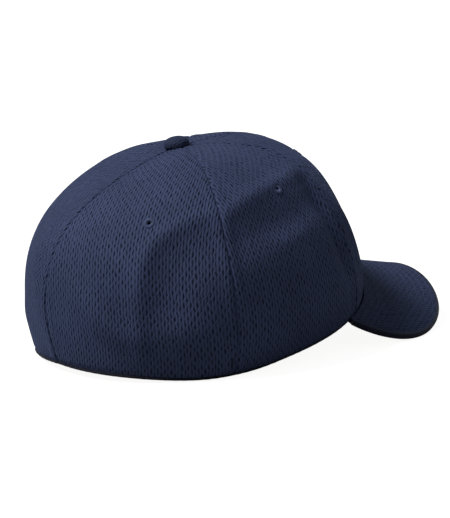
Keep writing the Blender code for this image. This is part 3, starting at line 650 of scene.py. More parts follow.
def make_thread(name, light, deep):
    """Spun thread: twisted strands as fine slanting lines, with painted shade in the grooves between them,
    and a soft lengthwise shine.
    """
    material, tree, shader = cloth_shader(name, 0.15, (0.35, 0.45, 0.85), 0.2)
    place = add_node(tree, "TexCoord", {}).outputs["Object"]
    wound = {"Vector": place, "Scale": 900.0, "Distortion": 1.5}
    strands = add_node(tree, "TexWave", wound, bands_direction="DIAGONAL").outputs["Fac"]
    # Painted shade: darker in the grooves between the strands.
    tone = between(tree, strands, 0.15, 0.8)
    tree.links.new(mixed_colour(tree, tone, deep, light), shader.inputs["Base Color"])
    tree.links.new(between(tree, strands, 0.0, 1.0, 0.7, 0.5), shader.inputs["Roughness"])
    add_bump(tree, shader, strands, 0.00005)
    return material


eyelet_thread = make_thread("eyelet_thread", THREAD_NAVY, THREAD_DEEP)
for where, name, centre, normal in eyelets:
    layers = FRONT_LAYERS if where == "front" else ONE_LAYER
    across, up_axis = placed_axes(normal)
    steps = EYELET_STITCHES * EYELET_STEPS_A_STITCH
    around = np.linspace(0, 2 * np.pi, steps, endpoint=False)[:, None]
    section = np.linspace(0, 2 * np.pi, EYELET_SECTION_STEPS, endpoint=False)[None]
    ridge = 1 + EYELET_RIDGE * (np.abs(np.sin(around * EYELET_STITCHES / 2)) - 0.5)
    half_height = (layers / 2 + EYELET_PROUD) * ridge
    reach = EYELET_RING_RADIUS + EYELET_RING_HALF_WIDTH * (0.5 + 0.5 * ridge) * np.cos(section)
    lift = -layers / 2 - 0.35 * EYELET_PUCKER + half_height * np.sin(section)
    radial = np.cos(around)[..., None] * across + np.sin(around)[..., None] * up_axis
    loops = centre + reach[..., None] * radial + lift[..., None] * normal
    ring = loft_object("eyelet_ring_" + where + "_" + name, loops, True)
    ring.data.materials.append(eyelet_thread)
    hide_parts("eyelet_" + where + "_" + name)
    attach(ring, "crown")

# ---------------------------------------------------------------------------------------------
# Buckram: a stiffened open weave backing inside each front panel, stopped short of its seams
# and of the button, that keeps the cap's front upright.

BUCKRAM_DEPTH, BUCKRAM_THICK, BUCKRAM_INSET, BUCKRAM_TIP = 0.0011, 0.0007, 0.0012, 0.014
BUCKRAM_COLUMNS, BUCKRAM_ROWS = 56, 90
LINER_START = 0.0012
# BUCKRAM_GAP is painted shade in the weave's gaps.
BUCKRAM_PALE, BUCKRAM_GAP = (0.56, 0.56, 0.53), (0.16, 0.16, 0.16)


def make_weave_group():
    """Plain weave: crossing rounded threads with gaps, put out as height, gap mask and patches."""
    sizes = {"Pitch": 0.001, "Slant": 0.0}
    group, start, end = new_group("plain_weave", sizes, ("Height", "Gap", "Patch"))
    parts = add_node(group, "SeparateXYZ", {0: start.outputs["Vector"]})
    across = add_math(group, "DIVIDE", parts.outputs["X"], start.outputs["Pitch"])
    up = add_math(group, "DIVIDE", parts.outputs["Y"], start.outputs["Pitch"])
    sheared = add_math(group, "MULTIPLY_ADD", up, start.outputs["Slant"], across)
    warp = add_math(group, "SINE", add_math(group, "MULTIPLY", sheared, 2 * math.pi))
    weft = add_math(group, "SINE", add_math(group, "MULTIPLY", up, 2 * math.pi))
    over = add_math(group, "MULTIPLY_ADD", add_math(group, "MULTIPLY", warp, weft), 0.2, 0.5)
    high = add_math(group, "MAXIMUM", warp, weft)
    group.links.new(add_math(group, "MULTIPLY_ADD", high, 0.3, over, clamp=True), end.inputs["Height"])
    group.links.new(between(group, high, -0.15, -0.55), end.inputs["Gap"])
    group.links.new(add_noise(group, start.outputs["Vector"], 60.0, 4.0), end.inputs["Patch"])
    return group


WEAVE_GROUP = make_weave_group()


def make_weave(
    name, light, deep, pitch, slant, relief, gap_shade_share, sheen=0.12, roughness=(0.8, 0.95), specular=0.25
):
    """Woven cloth of one colour, faintly patchy, with painted shade: deeper between the threads and deepest
    in the gaps.
    """
    material, tree, shader = cloth_shader(name, sheen, (0.8, 0.82, 0.9), specular)
    sizes = {"Vector": cloth_vector(tree), "Pitch": pitch, "Slant": slant}
    weave = add_node(tree, "Group", sizes, node_tree=WEAVE_GROUP)
    high, gap, patch = (weave.outputs[label] for label in ("Height", "Gap", "Patch"))
    worn = tuple(0.82 * value for value in light)
    ground = mixed_colour(tree, between(tree, patch, 0.3, 0.7), worn, light)
    # Painted shade: darker where the threads lie low and in the gaps between them.
    low = add_math(tree, "MULTIPLY", add_math(tree, "SUBTRACT", 1.0, high), 0.45)
    shaded = mixed_colour(tree, low, ground, deep)
    gap = add_math(tree, "MULTIPLY", gap, gap_shade_share)
    tree.links.new(mixed_colour(tree, gap, shaded, deep), shader.inputs["Base Color"])
    matt = between(tree, high, 0.0, 1.0, roughness[1], roughness[0])
    tree.links.new(matt, shader.inputs["Roughness"])
    add_bump(tree, shader, high, relief)
    return material


buckram_weave = make_weave("buckram_weave", BUCKRAM_PALE, BUCKRAM_GAP, 0.0013, 0.0, 0.00025, 0.85)
for index, side in ((2, "right"), (3, "left")):
    left, right = SEAMS[index], SEAMS[index + 1]
    shares = np.linspace(0, 1, BUCKRAM_COLUMNS + 1)
    angles = left + (right - left) * shares
    low, high = up_wall(angles, LINER_START), near_button(angles, BUCKRAM_TIP)
    t = low[:, None] + (high - low)[:, None] * np.linspace(0, 1, BUCKRAM_ROWS + 1)[None]
    margin = BUCKRAM_INSET / np.linalg.norm(skin(right, t[0]) - skin(left, t[0]), axis=-1)
    across = margin[None] + (1 - 2 * margin)[None] * shares[:, None]
    points, normal, along, up = wall_grid(left + (right - left) * across, t)
    centre = next(place for where, name, place, _ in eyelets if (where, name) == ("front", side))
    gap = np.linalg.norm(points - centre, axis=-1)
    from_seam = np.minimum(along, along[-1][None] - along) + BUCKRAM_INSET
    points = points + cloth_folds(points, from_seam, up + LINER_START)[..., None] * normal
    outer = points - BUCKRAM_DEPTH * normal
    middle = BUCKRAM_COLUMNS // 2
    uv = np.stack([along - along[middle][None], np.broadcast_to(up[middle], up.shape)], -1)
    keep = gap[:-1, :-1] > EYELET_HOLE_RADIUS
    backing = shell_object("buckram_backing_" + side, outer, outer - BUCKRAM_THICK * normal, keep, uv)
    backing.data.materials.append(buckram_weave)
    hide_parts("front_buckram_" + side)
    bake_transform(backing)

# ---------------------------------------------------------------------------------------------
# Seam tapes: twill tape sewn over each seam's open allowances on the inside, from the hem to
# under the button, with a row of lockstitch near either edge.

TAPE_HALF_WIDTH, TAPE_THICK, TAPE_TIP = 0.009, 0.0006, 0.0045
TAPE_WIDEST_ANGLE = math.radians(24.0)
FRONT_TAPE_DEPTH, BACK_TAPE_DEPTH = 0.00215, 0.0013
TAPE_COLUMNS, TAPE_ROWS = 24, 120
TAPE_STITCH_AT, TAPE_DENT, TAPE_DENT_SPREAD = 0.72, 0.00018, 0.09
STITCH_PITCH, STITCH_SHARE, STITCH_THREAD = 0.0031, 0.84, 0.00021
# TAPE_DEEP is painted shade between the threads of the tape, the elastic and the damask.
TAPE_NAVY, TAPE_DEEP = (0.030, 0.035, 0.056), (0.008, 0.010, 0.018)
SEAM_TAPES = (
    ("front", 0.0, FRONT_TAPE_DEPTH, "visor"),
    ("front_right", SEAMS[2], FRONT_TAPE_DEPTH, "visor"),
    ("front_left", SEAMS[4], FRONT_TAPE_DEPTH, "visor"),
    ("back_right", SEAMS[1], BACK_TAPE_DEPTH, "crown"),
    ("back_left", SEAMS[5], BACK_TAPE_DEPTH, "crown"),
    ("back", SEAMS[6], BACK_TAPE_DEPTH, "crown"),
)


def strip_angles(middle, half_width, t, columns, widest):
    """Angles either side of a middle one, that far off it in metres at every height."""
    chord = skin(middle + NORMAL_STEP_ROUND, t) - skin(middle - NORMAL_STEP_ROUND, t)
    arc = np.linalg.norm(chord, axis=-1) / (2 * NORMAL_STEP_ROUND)
    half_turn = np.minimum(half_width / arc, widest)
    return middle + half_turn[None] * np.linspace(-1, 1, columns + 1)[:, None]


def stitch_faces(count, steps, sides):
    """Faces of many separate short threads, each of a few loops and closed at both ends."""
    one = tube_faces(steps, sides, False)
    return (one[None] + (np.arange(count) * steps * sides)[:, None, None]).reshape(-1, 4)


def stitch_points(starts, ends, normals, radius, arch):
    """Points of separate stitches: a rounded thread from start to end that bows along the normal."""
    way = ends - starts
    length = np.linalg.norm(way, axis=-1, keepdims=True)
    side = np.cross(normals, way / length)
    side = unit(side)
    share = np.array((0.0, 0.12, 0.5, 0.88, 1.0))
    thick = radius * np.array((0.45, 0.9, 1.0, 0.9, 0.45))
    bow = arch * np.array((-1.0, 0.2, 1.0, 0.2, -1.0))
    turn = np.linspace(0, 2 * np.pi, 6, endpoint=False)
    centre = starts[:, None] + share[None, :, None] * way[:, None] + bow[None, :, None] * normals[:, None]
    spoke = np.cos(turn)[None, :, None] * side[:, None] + np.sin(turn)[None, :, None] * normals[:, None]
    return centre[:, :, None] + thick[None, :, None, None] * spoke[:, None]


def stitched_line(path, normals, pitch=STITCH_PITCH, share=STITCH_SHARE, radius=STITCH_THREAD, arch=0.00008):
    """Stitches of even pitch along a path, as an array of points (stitch, step, side, 3)."""
    arc = arc_lengths(path[None], 1)[0]
    count = int(arc[-1] / pitch)
    begin = (np.arange(count) + 0.5 - share / 2) * arc[-1] / count
    finish = begin + share * arc[-1] / count

    def at(values, where):
        return np.stack([np.interp(where, arc, values[:, axis]) for axis in range(3)], -1)

    middle = at(normals, (begin + finish) / 2)
    middle = unit(middle)
    return stitch_points(at(path, begin), at(path, finish), middle, radius, arch)


def stitches_object(name, groups, material):
    """One mesh of all these groups of stitches."""
    points = np.concatenate(groups)
    count, steps, sides = points.shape[:3]
    obj = mesh_object(name, points.reshape(-1, 3), stitch_faces(count, steps, sides))
    turned_out(obj)
    obj.data.materials.append(material)
    return obj


tape_twill = make_weave("seam_tape_twill", TAPE_NAVY, TAPE_DEEP, 0.0011, 0.5, 0.00018, 0.3)
lining_thread = make_thread("lining_thread", (0.045, 0.053, 0.10), THREAD_DEEP)
for where, middle, depth, follows in SEAM_TAPES:
    low, high = up_wall([middle], LINER_START)[0], near_button([middle], TAPE_TIP)[0]
    levels = np.linspace(low, high, TAPE_ROWS + 1)
    turn = strip_angles(middle, TAPE_HALF_WIDTH, levels, TAPE_COLUMNS, TAPE_WIDEST_ANGLE)
    points, normal, along, up = wall_grid(turn, levels)
    share = np.linspace(-1, 1, TAPE_COLUMNS + 1)[:, None]
    dent = TAPE_DENT * bell(np.abs(share) - TAPE_STITCH_AT, TAPE_DENT_SPREAD)
    beside = along - along[TAPE_COLUMNS // 2][None]
    points = points + cloth_folds(points, np.abs(beside), up + LINER_START)[..., None] * normal
    inner = points - (depth + TAPE_THICK - np.broadcast_to(dent, turn.shape))[..., None] * normal
    uv = np.stack([beside, up], -1)
    tape = shell_object("seam_tape_strip_" + where, points - depth * normal, inner, None, uv)
    tape.data.materials.append(tape_twill)
    columns = [round((1 + sign * TAPE_STITCH_AT) / 2 * TAPE_COLUMNS) for sign in (-1, 1)]
    rows = [stitched_line(inner[n, 2:-2] - 0.00003 * normal[n, 2:-2], -normal[n, 2:-2]) for n in columns]
    stitching = stitches_object("seam_tape_stitching_" + where, rows, lining_thread)
    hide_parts("seam_tape_" + where)
    for piece in (tape, stitching):
        if follows == "visor":
            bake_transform(piece)
        else:
            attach(piece, "crown")

# ---------------------------------------------------------------------------------------------
# Button: a stamped metal shell covered with the crown's own knit, its edge gathered under, and
# held by a metal prong and a moulded washer through the tips of the panels.

BUTTON_LEAN = math.radians(-7.5)
BUTTON_RADIUS, BUTTON_BASE, BUTTON_HEIGHT, BUTTON_FULLNESS = 0.0076, 0.0009, 0.0049, 0.8
BUTTON_CLOTH = 0.0007
BUTTON_STEPS = 72
BUTTON_GATHERS, GATHER_DEPTH, GATHER_SWAY, GATHER_FADE = 11, 0.00022, 0.8, 6
BUTTON_TUCK, BUTTON_CLOTH_SHARE = 0.0003, 0.86
BUTTON_NAVY = (0.024, 0.033, 0.074)
BUTTON_UNDER = ((0.0074, 0.00062), (0.0070, 0.00044), (0.0064, 0.00042))
METAL_BRIGHT, METAL_DULL = (0.56, 0.56, 0.57), (0.36, 0.36, 0.37)
WASHER_GREY, WASHER_DARK = (0.055, 0.057, 0.062), (0.04, 0.042, 0.046)

button_place = Matrix.Translation(Vector(SEAT) + Vector((0, APEX_BACK, APEX)))
button_turn = button_place @ Matrix.Rotation(BUTTON_LEAN, 4, "X")
arcs = np.linspace(0, np.pi / 2, 40)
dome = [
    (
        BUTTON_RADIUS * math.sin(a) ** BUTTON_FULLNESS,
        BUTTON_BASE + BUTTON_HEIGHT * max(math.cos(a), 0) ** BUTTON_FULLNESS,
    )
    for a in arcs
]
profile = np.array(dome + list(BUTTON_UNDER))
profile_arc = arc_lengths(profile[None], 1)[0]
even = np.linspace(-1, 1, BUTTON_STEPS + 1)
x, y = np.meshgrid(even, even, indexing="ij")
disc_x, disc_y = x * np.sqrt(1 - y**2 / 2), y * np.sqrt(1 - x**2 / 2)
share, bearing = np.hypot(disc_x, disc_y), np.arctan2(disc_y, disc_x)
radius = np.interp(share * profile_arc[-1], profile_arc, profile[:, 0])
height = np.interp(share * profile_arc[-1], profile_arc, profile[:, 1])
gathered = np.sin(BUTTON_GATHERS * bearing + GATHER_SWAY * np.sin(3 * bearing))
gather = GATHER_DEPTH * gathered * np.clip(share, 0, 1) ** GATHER_FADE
radius_out = radius + gather
inside = (BUTTON_RADIUS - BUTTON_CLOTH) / BUTTON_RADIUS
height_in = BUTTON_BASE + (height - BUTTON_BASE) * (BUTTON_HEIGHT - BUTTON_CLOTH) / BUTTON_HEIGHT
outer = np.stack([radius_out * np.cos(bearing), radius_out * np.sin(bearing), height], -1)
radius_in = inside * radius
inner = np.stack([radius_in * np.cos(bearing), radius_in * np.sin(bearing), height_in + BUTTON_TUCK], -1)
turn = np.array(button_turn)
outer, inner = (grid @ turn[:3, :3].T + turn[:3, 3] for grid in (outer, inner))
uv = profile_arc[-1] * np.stack([share * np.cos(bearing), share * np.sin(bearing)], -1)
button_cloth = shell_object("button_cloth", outer, inner, None, uv)
turned_out(button_cloth)
button_knit = make_knit("button_knit", BUTTON_NAVY, NAVY_DEEP, 0.5, 0.00020, 0.08, (0.00030, 0.0010))
button_cloth.data.materials.append(button_knit)
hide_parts("button_cover")
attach(button_cloth, "crown")


def make_plain(name, light, deep, roughness, grain_scale, relief, metallic=0.0, specular=0.5):
    """A hard finish: two close tones in soft patches, fine grain, and roughness that varies with the grain.
    """
    material = bpy.data.materials.new(name)
    material.use_nodes = True
    tree, shader = material.node_tree, material.node_tree.nodes["Principled BSDF"]
    shader.inputs["Metallic"].default_value = metallic
    shader.inputs["Specular IOR Level"].default_value = specular
    vector = tree.nodes.new("ShaderNodeTexCoord").outputs["Object"]
    patch, grain = add_noise(tree, vector, grain_scale / 9, 3.0), add_noise(tree, vector, grain_scale, 5.0)
    colour = mixed_colour(tree, between(tree, patch, 0.3, 0.7), deep, light)
    tree.links.new(colour, shader.inputs["Base Color"])
    tree.links.new(between(tree, grain, 0.3, 0.7, *roughness), shader.inputs["Roughness"])
    add_bump(tree, shader, grain, relief)
    return material


def refinish(node, material):
    """Gives a CAD node this material in every slot."""
    mesh = frame["nodes"][node].data
    if not mesh.materials:
        mesh.materials.append(material)
    for number in range(len(mesh.materials)):
        mesh.materials[number] = material


button_metal = make_plain("stamped_metal", METAL_BRIGHT, METAL_DULL, (0.28, 0.46), 900.0, 0.00002, 1.0)
refinish("button_shell", button_metal)
refinish("button_prong", button_metal)
washer_plastic = make_plain("moulded_washer", WASHER_GREY, WASHER_DARK, (0.45, 0.62), 1200.0, 0.00003)
refinish("button_washer", washer_plastic)

# ---------------------------------------------------------------------------------------------
# Hem binding: a bias strip of matt navy jersey, darkened near black with painted shade, turned over
# the panels' lower edges all round, sewn through the crown and the sweatband, so only its rounded
# fold shows under the knit.

BINDING_SECTION = ((0.3, -0.1), (0.25, -1.3), (1.2, -2.2), (4.7, -2.2), (5.5, -1.2), (5.3, -0.1))
BINDING_STEPS = 540
BINDING_WAVE, WAVE_SHORT, WAVE_LONG = 0.00008, 0.0053, 0.037
# HEM_SHADED_NAVY is the binding's own navy darkened near black with painted shade.
HEM_SHADED_NAVY, HEM_DEEP = (0.0050, 0.0062, 0.0135), (0.0022, 0.0028, 0.006)


def rounded(loop, times=2):
    """A closed loop of points with its corners cut at a quarter and three quarters of each side."""
    for _ in range(times):
        after = np.roll(loop, -1, axis=0)
        cut = np.stack([0.75 * loop + 0.25 * after, 0.25 * loop + 0.75 * after], 1)
        loop = cut.reshape(-1, loop.shape[-1])
    return loop


def strip_map(along, section):
    """Map of a strip carried along a path: distance along it, and distance round its section."""
    around = arc_lengths(np.concatenate([section, section[:1]])[None], 1)[0][:-1]
    return np.stack(np.broadcast_arrays(along[:, None], around[None]), -1)


section = rounded(np.array(BINDING_SECTION) / 1000)
angles = np.linspace(-np.pi, np.pi, BINDING_STEPS, endpoint=False)
edge, inwards = skin(angles, 0.0), -outward(angles, 0.0)
rising = skin(angles, 0.004) - edge
rising = unit(rising)
along = np.cumsum(np.linalg.norm(np.roll(edge, -1, axis=0) - edge, axis=-1))
wave = BINDING_WAVE * np.sin(along * 2 * np.pi / WAVE_SHORT) * np.sin(along * 2 * np.pi / WAVE_LONG)
inset = (section[None, :, :1] - wave[:, None, None]) * inwards[:, None]
rings = edge[:, None] + inset + section[None, :, 1:] * rising[:, None]
hem = loft_object("hem_binding_strip", rings, True, strip_map(along, section))
hem.data.materials.append(make_weave("hem_jersey", HEM_SHADED_NAVY, HEM_DEEP, 0.0007, 0.0, 0.00010, 0.2, 0.1))
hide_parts("rim_binding")
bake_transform(hem)

# ---------------------------------------------------------------------------------------------
# Bar tack: a short close zigzag of dark thread that locks the hem behind the right-hand seam.

TACK_ANGLE, TACK_RISE = math.radians(-110.2), 0.009
TACK_WIDTH, TACK_HEIGHT, TACK_STITCHES = 0.0015, 0.0045, 15

t = up_wall([TACK_ANGLE], TACK_RISE)[0]
centre, normal = skin(TACK_ANGLE, t), outward(TACK_ANGLE, t)
across, up_axis = placed_axes(normal)
levels = np.linspace(-0.5, 0.5, TACK_STITCHES)[:, None] * TACK_HEIGHT
middle = centre + 0.0003 * normal + levels * up_axis
slant = 0.3 * TACK_HEIGHT / TACK_STITCHES * up_axis
left_ends, right_ends = middle - TACK_WIDTH / 2 * across - slant, middle + TACK_WIDTH / 2 * across + slant
facing = np.broadcast_to(normal, middle.shape)
tack = stitches_object(
    "hem_tack_zigzag",
    [stitch_points(left_ends, right_ends, facing, 0.00021, 0.00012)],
    make_thread("dark_thread", (0.014, 0.018, 0.042), (0.005, 0.006, 0.014)),
)
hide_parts("hem_bar_tack")
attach(tack, "crown")

# ---------------------------------------------------------------------------------------------
# Sweatband: a ring of brushed twill, sewn to the hem and turned up inside, over a strip of foam
# at the forehead and temples and a strip of elastic that gathers it at the back of the head.

BAND_DEPTH, BAND_THICK, BAND_HEIGHT = 0.0051, 0.0007, 0.035
BAND_COLUMNS, BAND_ROWS = 480, 30
BAND_STITCH_LEVELS = (0.0040, 0.0315)
BAND_CHANNEL, BAND_CHANNEL_WIDTH = 0.00022, 0.0012
FOAM_DEPTH, FOAM_THICK, FOAM_HEIGHT, FOAM_REACH = 0.0031, 0.0014, 0.032, math.radians(100.0)
FOAM_PUFF, FOAM_TAPER, FOAM_COLUMNS, FOAM_ROWS = 0.00075, 0.006, 240, 20
GATHER_HEIGHT, GATHER_PITCH = 0.00028, 0.0062
ELASTIC_THICK, ELASTIC_REACH = 0.0008, math.radians(77.0)
ELASTIC_LOW, ELASTIC_HIGH = 0.003, 0.027
ELASTIC_COLUMNS, ELASTIC_ROWS, ELASTIC_RIPPLE, RIPPLE_PITCH = 360, 12, 0.00012, 0.0031
# BAND_DEEP is painted shade between the twill's threads.
BAND_NAVY, BAND_DEEP = (0.017, 0.021, 0.042), (0.006, 0.007, 0.014)
FOAM_GREY, FOAM_PORE = (0.33, 0.33, 0.34), (0.15, 0.15, 0.16)


def ring_levels(angles, low, high, rows):
    """Profile parameters between two distances up the wall, for each angle."""
    bottom, top = up_wall(angles, low), up_wall(angles, high)
    return bottom[:, None] + (top - bottom)[:, None] * np.linspace(0, 1, rows + 1)[None]


angles = np.linspace(-np.pi, np.pi, BAND_COLUMNS, endpoint=False)
t = ring_levels(angles, LINER_START, BAND_HEIGHT, BAND_ROWS)
turn = angles[:, None]
points, normal, along, up = wall_grid(turn, t)
low_row, high_row = BAND_STITCH_LEVELS
held = np.clip((up - low_row) / (high_row - low_row), 0, 1)
crowned = np.sin(np.pi * held) ** 0.6
over_foam = 1 / (1 + np.exp((np.abs(turn) - FOAM_REACH) / 0.05))
behind = np.clip((np.abs(turn) - FOAM_REACH) / 0.25, 0, 1) * np.clip((np.pi - np.abs(turn)) / 0.12, 0, 1)
gathered = np.sin(2 * np.pi * along / GATHER_PITCH + 1.3 * np.sin(along * 190))
gathers = GATHER_HEIGHT * behind * crowned * (0.5 + 0.5 * gathered)
puff = FOAM_PUFF * over_foam * crowned + gathers
for level in BAND_STITCH_LEVELS:
    puff -= BAND_CHANNEL * bell(up - level, BAND_CHANNEL_WIDTH)
outer = points - (BAND_DEPTH + 0.4 * puff)[..., None] * normal
inner = points - (BAND_DEPTH + BAND_THICK + puff)[..., None] * normal
band = shell_object("sweatband_twill", outer, inner, None, np.stack([along, up], -1), closed=True)
band_twill = make_weave("brushed_twill", BAND_NAVY, BAND_DEEP, 0.0009, 1.0, 0.00012, 0.25, 0.3)
band.data.materials.append(band_twill)
rows = []
for level in BAND_STITCH_LEVELS:
    loop = np.concatenate([np.arange(BAND_COLUMNS), [0]])
    near = np.abs(up[loop] - level).argmin(axis=1)
    path, facing = inner[loop, near], -normal[loop, near]
    rows.append(stitched_line(path + 0.00004 * facing, facing))
band_stitching = stitches_object("sweatband_stitching", rows, lining_thread)
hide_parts("sweatband_face")
for piece in (band, band_stitching):
    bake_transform(piece)

angles = np.linspace(-FOAM_REACH, FOAM_REACH, FOAM_COLUMNS + 1)
t = ring_levels(angles, LINER_START, FOAM_HEIGHT, FOAM_ROWS)
points, normal, along, up = wall_grid(angles[:, None], t)
ends = np.clip((along[-1][None] - along) / FOAM_TAPER, 0, 1) * np.clip(along / FOAM_TAPER, 0, 1)
crowned = np.sin(np.pi * up / up.max()) ** 0.5
thick = FOAM_THICK * (0.55 + 0.55 * crowned) * (0.6 + 0.4 * ends)
outer = points - FOAM_DEPTH * normal
uv = np.stack([along, up], -1)
foam = shell_object("sweatband_foam_pad", outer, outer - thick[..., None] * normal, None, uv)
open_foam = make_plain("open_foam", FOAM_GREY, FOAM_PORE, (0.85, 0.98), 1500.0, 0.0003, 0.0, 0.1)
foam.data.materials.append(open_foam)
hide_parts("sweatband_foam")
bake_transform(foam)

angles = np.linspace(np.pi - ELASTIC_REACH, np.pi + ELASTIC_REACH, ELASTIC_COLUMNS + 1)
t = ring_levels(angles, ELASTIC_LOW, ELASTIC_HIGH, ELASTIC_ROWS)
points, normal, along, up = wall_grid(angles[:, None], t)
rippled = FOAM_DEPTH + ELASTIC_RIPPLE * np.sin(2 * np.pi * along / RIPPLE_PITCH)
outer = points - rippled[..., None] * normal
uv = np.stack([along, up], -1)
elastic = shell_object("sweatband_elastic_strip", outer, outer - ELASTIC_THICK * normal, None, uv)
elastic.data.materials.append(make_weave("ribbed_elastic", TAPE_NAVY, TAPE_DEEP, 0.0012, 0.0, 0.00022, 0.4))
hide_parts("sweatband_elastic")
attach(elastic, "crown")

# ---------------------------------------------------------------------------------------------
# Join cover and blank labels: patches sewn on the band and the back tape, and a satin care
# label that hangs by its top edge from the tape and can swing.

JOIN_DEPTH, WOVEN_DEPTH, SIZE_TURN = 0.0062, 0.0023, math.radians(-164.0)
# Each: piece, CAD node, angle, half width, lowest and highest edge, depth in the wall, thickness.
PATCHES = (
    ("sweatband_join_patch", "sweatband_join_cover", np.pi, 0.008, 0.0022, 0.034, JOIN_DEPTH, 0.0005),
    ("woven_label_patch", "woven_label", np.pi, 0.018, 0.038, 0.055, WOVEN_DEPTH, 0.0004),
    ("size_label_patch", "size_label", SIZE_TURN, 0.008, 0.007, 0.017, JOIN_DEPTH, 0.0003),
)
PATCH_COLUMNS, PATCH_ROWS, PATCH_EDGE, PATCH_PUFF = 40, 30, 0.0011, 0.00022
CARE_WIDTH, CARE_HEIGHT, CARE_THICK, CARE_CURL = 0.018, 0.028, 0.0004, 0.0016
LABEL_WHITE, LABEL_SHADE = (0.72, 0.72, 0.70), (0.50, 0.50, 0.49)
DAMASK_NAVY = (0.05, 0.06, 0.10)

label_satin = make_weave(
    "label_satin", LABEL_WHITE, LABEL_SHADE, 0.0004, 2.0, 0.00004, 0.1, 0.1, (0.5, 0.7), 0.4
)
label_damask = make_weave(
    "label_damask", DAMASK_NAVY, TAPE_DEEP, 0.0005, 1.0, 0.00006, 0.2, 0.1, (0.5, 0.75)
)
patch_cloth = {"sweatband_join_cover": band_twill, "woven_label": label_damask, "size_label": label_satin}
for name, node, middle, half_width, low, high, depth, thick in PATCHES:
    ends = [up_wall([middle], distance)[0] for distance in (low, high)]
    levels = np.linspace(*ends, PATCH_ROWS + 1)
    turn = strip_angles(middle, half_width, levels, PATCH_COLUMNS, np.pi)
    points, normal, along, up = wall_grid(turn, levels)
    from_edge = np.minimum(np.minimum(along, along[-1][None] - along), np.minimum(up, up[:, -1:] - up))
    uneven = 1 + 0.3 * np.sin(along * 700) * np.sin(up * 500)
    lift = PATCH_PUFF * np.clip(from_edge / PATCH_EDGE, 0, 1) ** 0.5 * uneven
    outer = points - depth * normal
    inner = outer - (thick + lift)[..., None] * normal
    patch = shell_object(name, outer, inner, None, np.stack([along, up], -1))
    patch.data.materials.append(patch_cloth[node])
    n, last = 2, PATCH_ROWS - 2
    loop = [inner[n:-n, n], inner[-n - 1, n:last], inner[n:-n, last][::-1], inner[n, n:last][::-1]]
    facings = [-normal[n:-n, n], -normal[-n - 1, n:last], -normal[n:-n, last][::-1], -normal[n, n:last][::-1]]
    sewn = [stitched_line(path, facing, 0.0024, 0.8, 0.00014) for path, facing in zip(loop, facings)]
    sewing = stitches_object(name + "_sewing", sewn, lining_thread)
    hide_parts(node)
    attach(patch, "crown")
    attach(sewing, "crown")

care_joint = next(joint for joint in frame["joints"] if joint["name"] == "care_label_swing")
hang = np.array(care_joint["pos_m"])
across, down = np.meshgrid(np.linspace(-0.5, 0.5, 25), np.linspace(0, 1, 41), indexing="ij")
curl = -CARE_CURL * down**2 * (1 + 0.5 * across) - 0.0004 * np.cos(across * 3.1) * down
front = np.stack([CARE_WIDTH * across, curl + CARE_THICK / 2, -CARE_HEIGHT * down * 0.992], -1) + hang
back = front - (0, CARE_THICK, 0)
uv = np.stack([CARE_WIDTH * across, CARE_HEIGHT * down], -1)
care = shell_object("care_label_satin", front, back, None, uv)
turned_out(care)
care.data.materials.append(label_satin)
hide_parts("care_label")
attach(care, "care_label")

# ---------------------------------------------------------------------------------------------
# Visor: a moulded board between two knit covers, quilted together by eight rows of lockstitch
# that follow the outline, with a smooth turned edge and a plain strip beside the crown.

VISOR_CLEARANCE, VISOR_LENGTH = 0.001, 0.062
VISOR_SLOPE, DROOP_POWER = math.tan(math.radians(12.6)), 1.8
VISOR_TIP, VISOR_SHOULDER = (0.0015, 0.0025), (0.011, 0.0155)
VISOR_CORNER, VISOR_FRONT_HALF = (0.1075, 0.031), 0.0375
BOARD_HALF, COVER_THICK, COVER_GAP = 0.0008, 0.0006, 0.0003
COVER_COLUMNS, COVER_ROWS = 260, 190
COVER_ROOT, COVER_EDGE = -0.0008, 0.0011
ROW_COUNT, FIRST_ROW, ROW_PITCH, ROW_END = 8, 0.004, 0.005, 0.003
CHANNEL_DEPTH, CHANNEL_WIDTH, QUILT_PUFF = 0.00026, 0.0007, 0.00012
ROOT_RIDGE_AT, ROOT_RIDGE, ROOT_RIDGE_WIDTH = 0.0072, 0.00022, 0.0010
# VISOR_SHADED_NAVY is the visor knit's own navy, darkened with painted shade.
VISOR_SHADED_NAVY, VISOR_DEEP = (0.027, 0.038, 0.086), (0.0050, 0.0068, 0.017)
# EDGE_DEEP is painted shade between the edge jersey's threads.
EDGE_LIGHT, EDGE_DEEP = (0.0085, 0.0115, 0.029), (0.004, 0.005, 0.012)
BOARD_GREY, BOARD_DARK = (0.030, 0.031, 0.036), (0.022, 0.023, 0.027)
EDGE_SECTION = (
    *((1.9, 1.2), (1.9, 1.75), (1.0, 2.0), (0.2, 1.75), (-0.1, 0.9), (-0.1, -0.9)),
    *((0.2, -1.75), (1.0, -2.0), (1.9, -1.75), (1.9, -1.2), (0.9, -1.0), (0.9, 1.0)),
)
VISOR_COVERS = (("visor_top_cloth", "visor_top_cover", 1), ("visor_under_cloth", "visor_under_cover", -1))
PUFF_WIDTH, PLAIN_STRIP, PLAIN_FADE, EDGE_TUCK, EDGE_TUCK_WIDTH = 0.0014, 0.009, 0.004, 0.00045, 0.0016
EDGE_STEPS = 360


def flat_outward(angle):
    """Horizontal outward direction at the rim."""
    normal = outward(angle, np.zeros_like(angle)) * (1, 1, 0)
    return unit(normal)


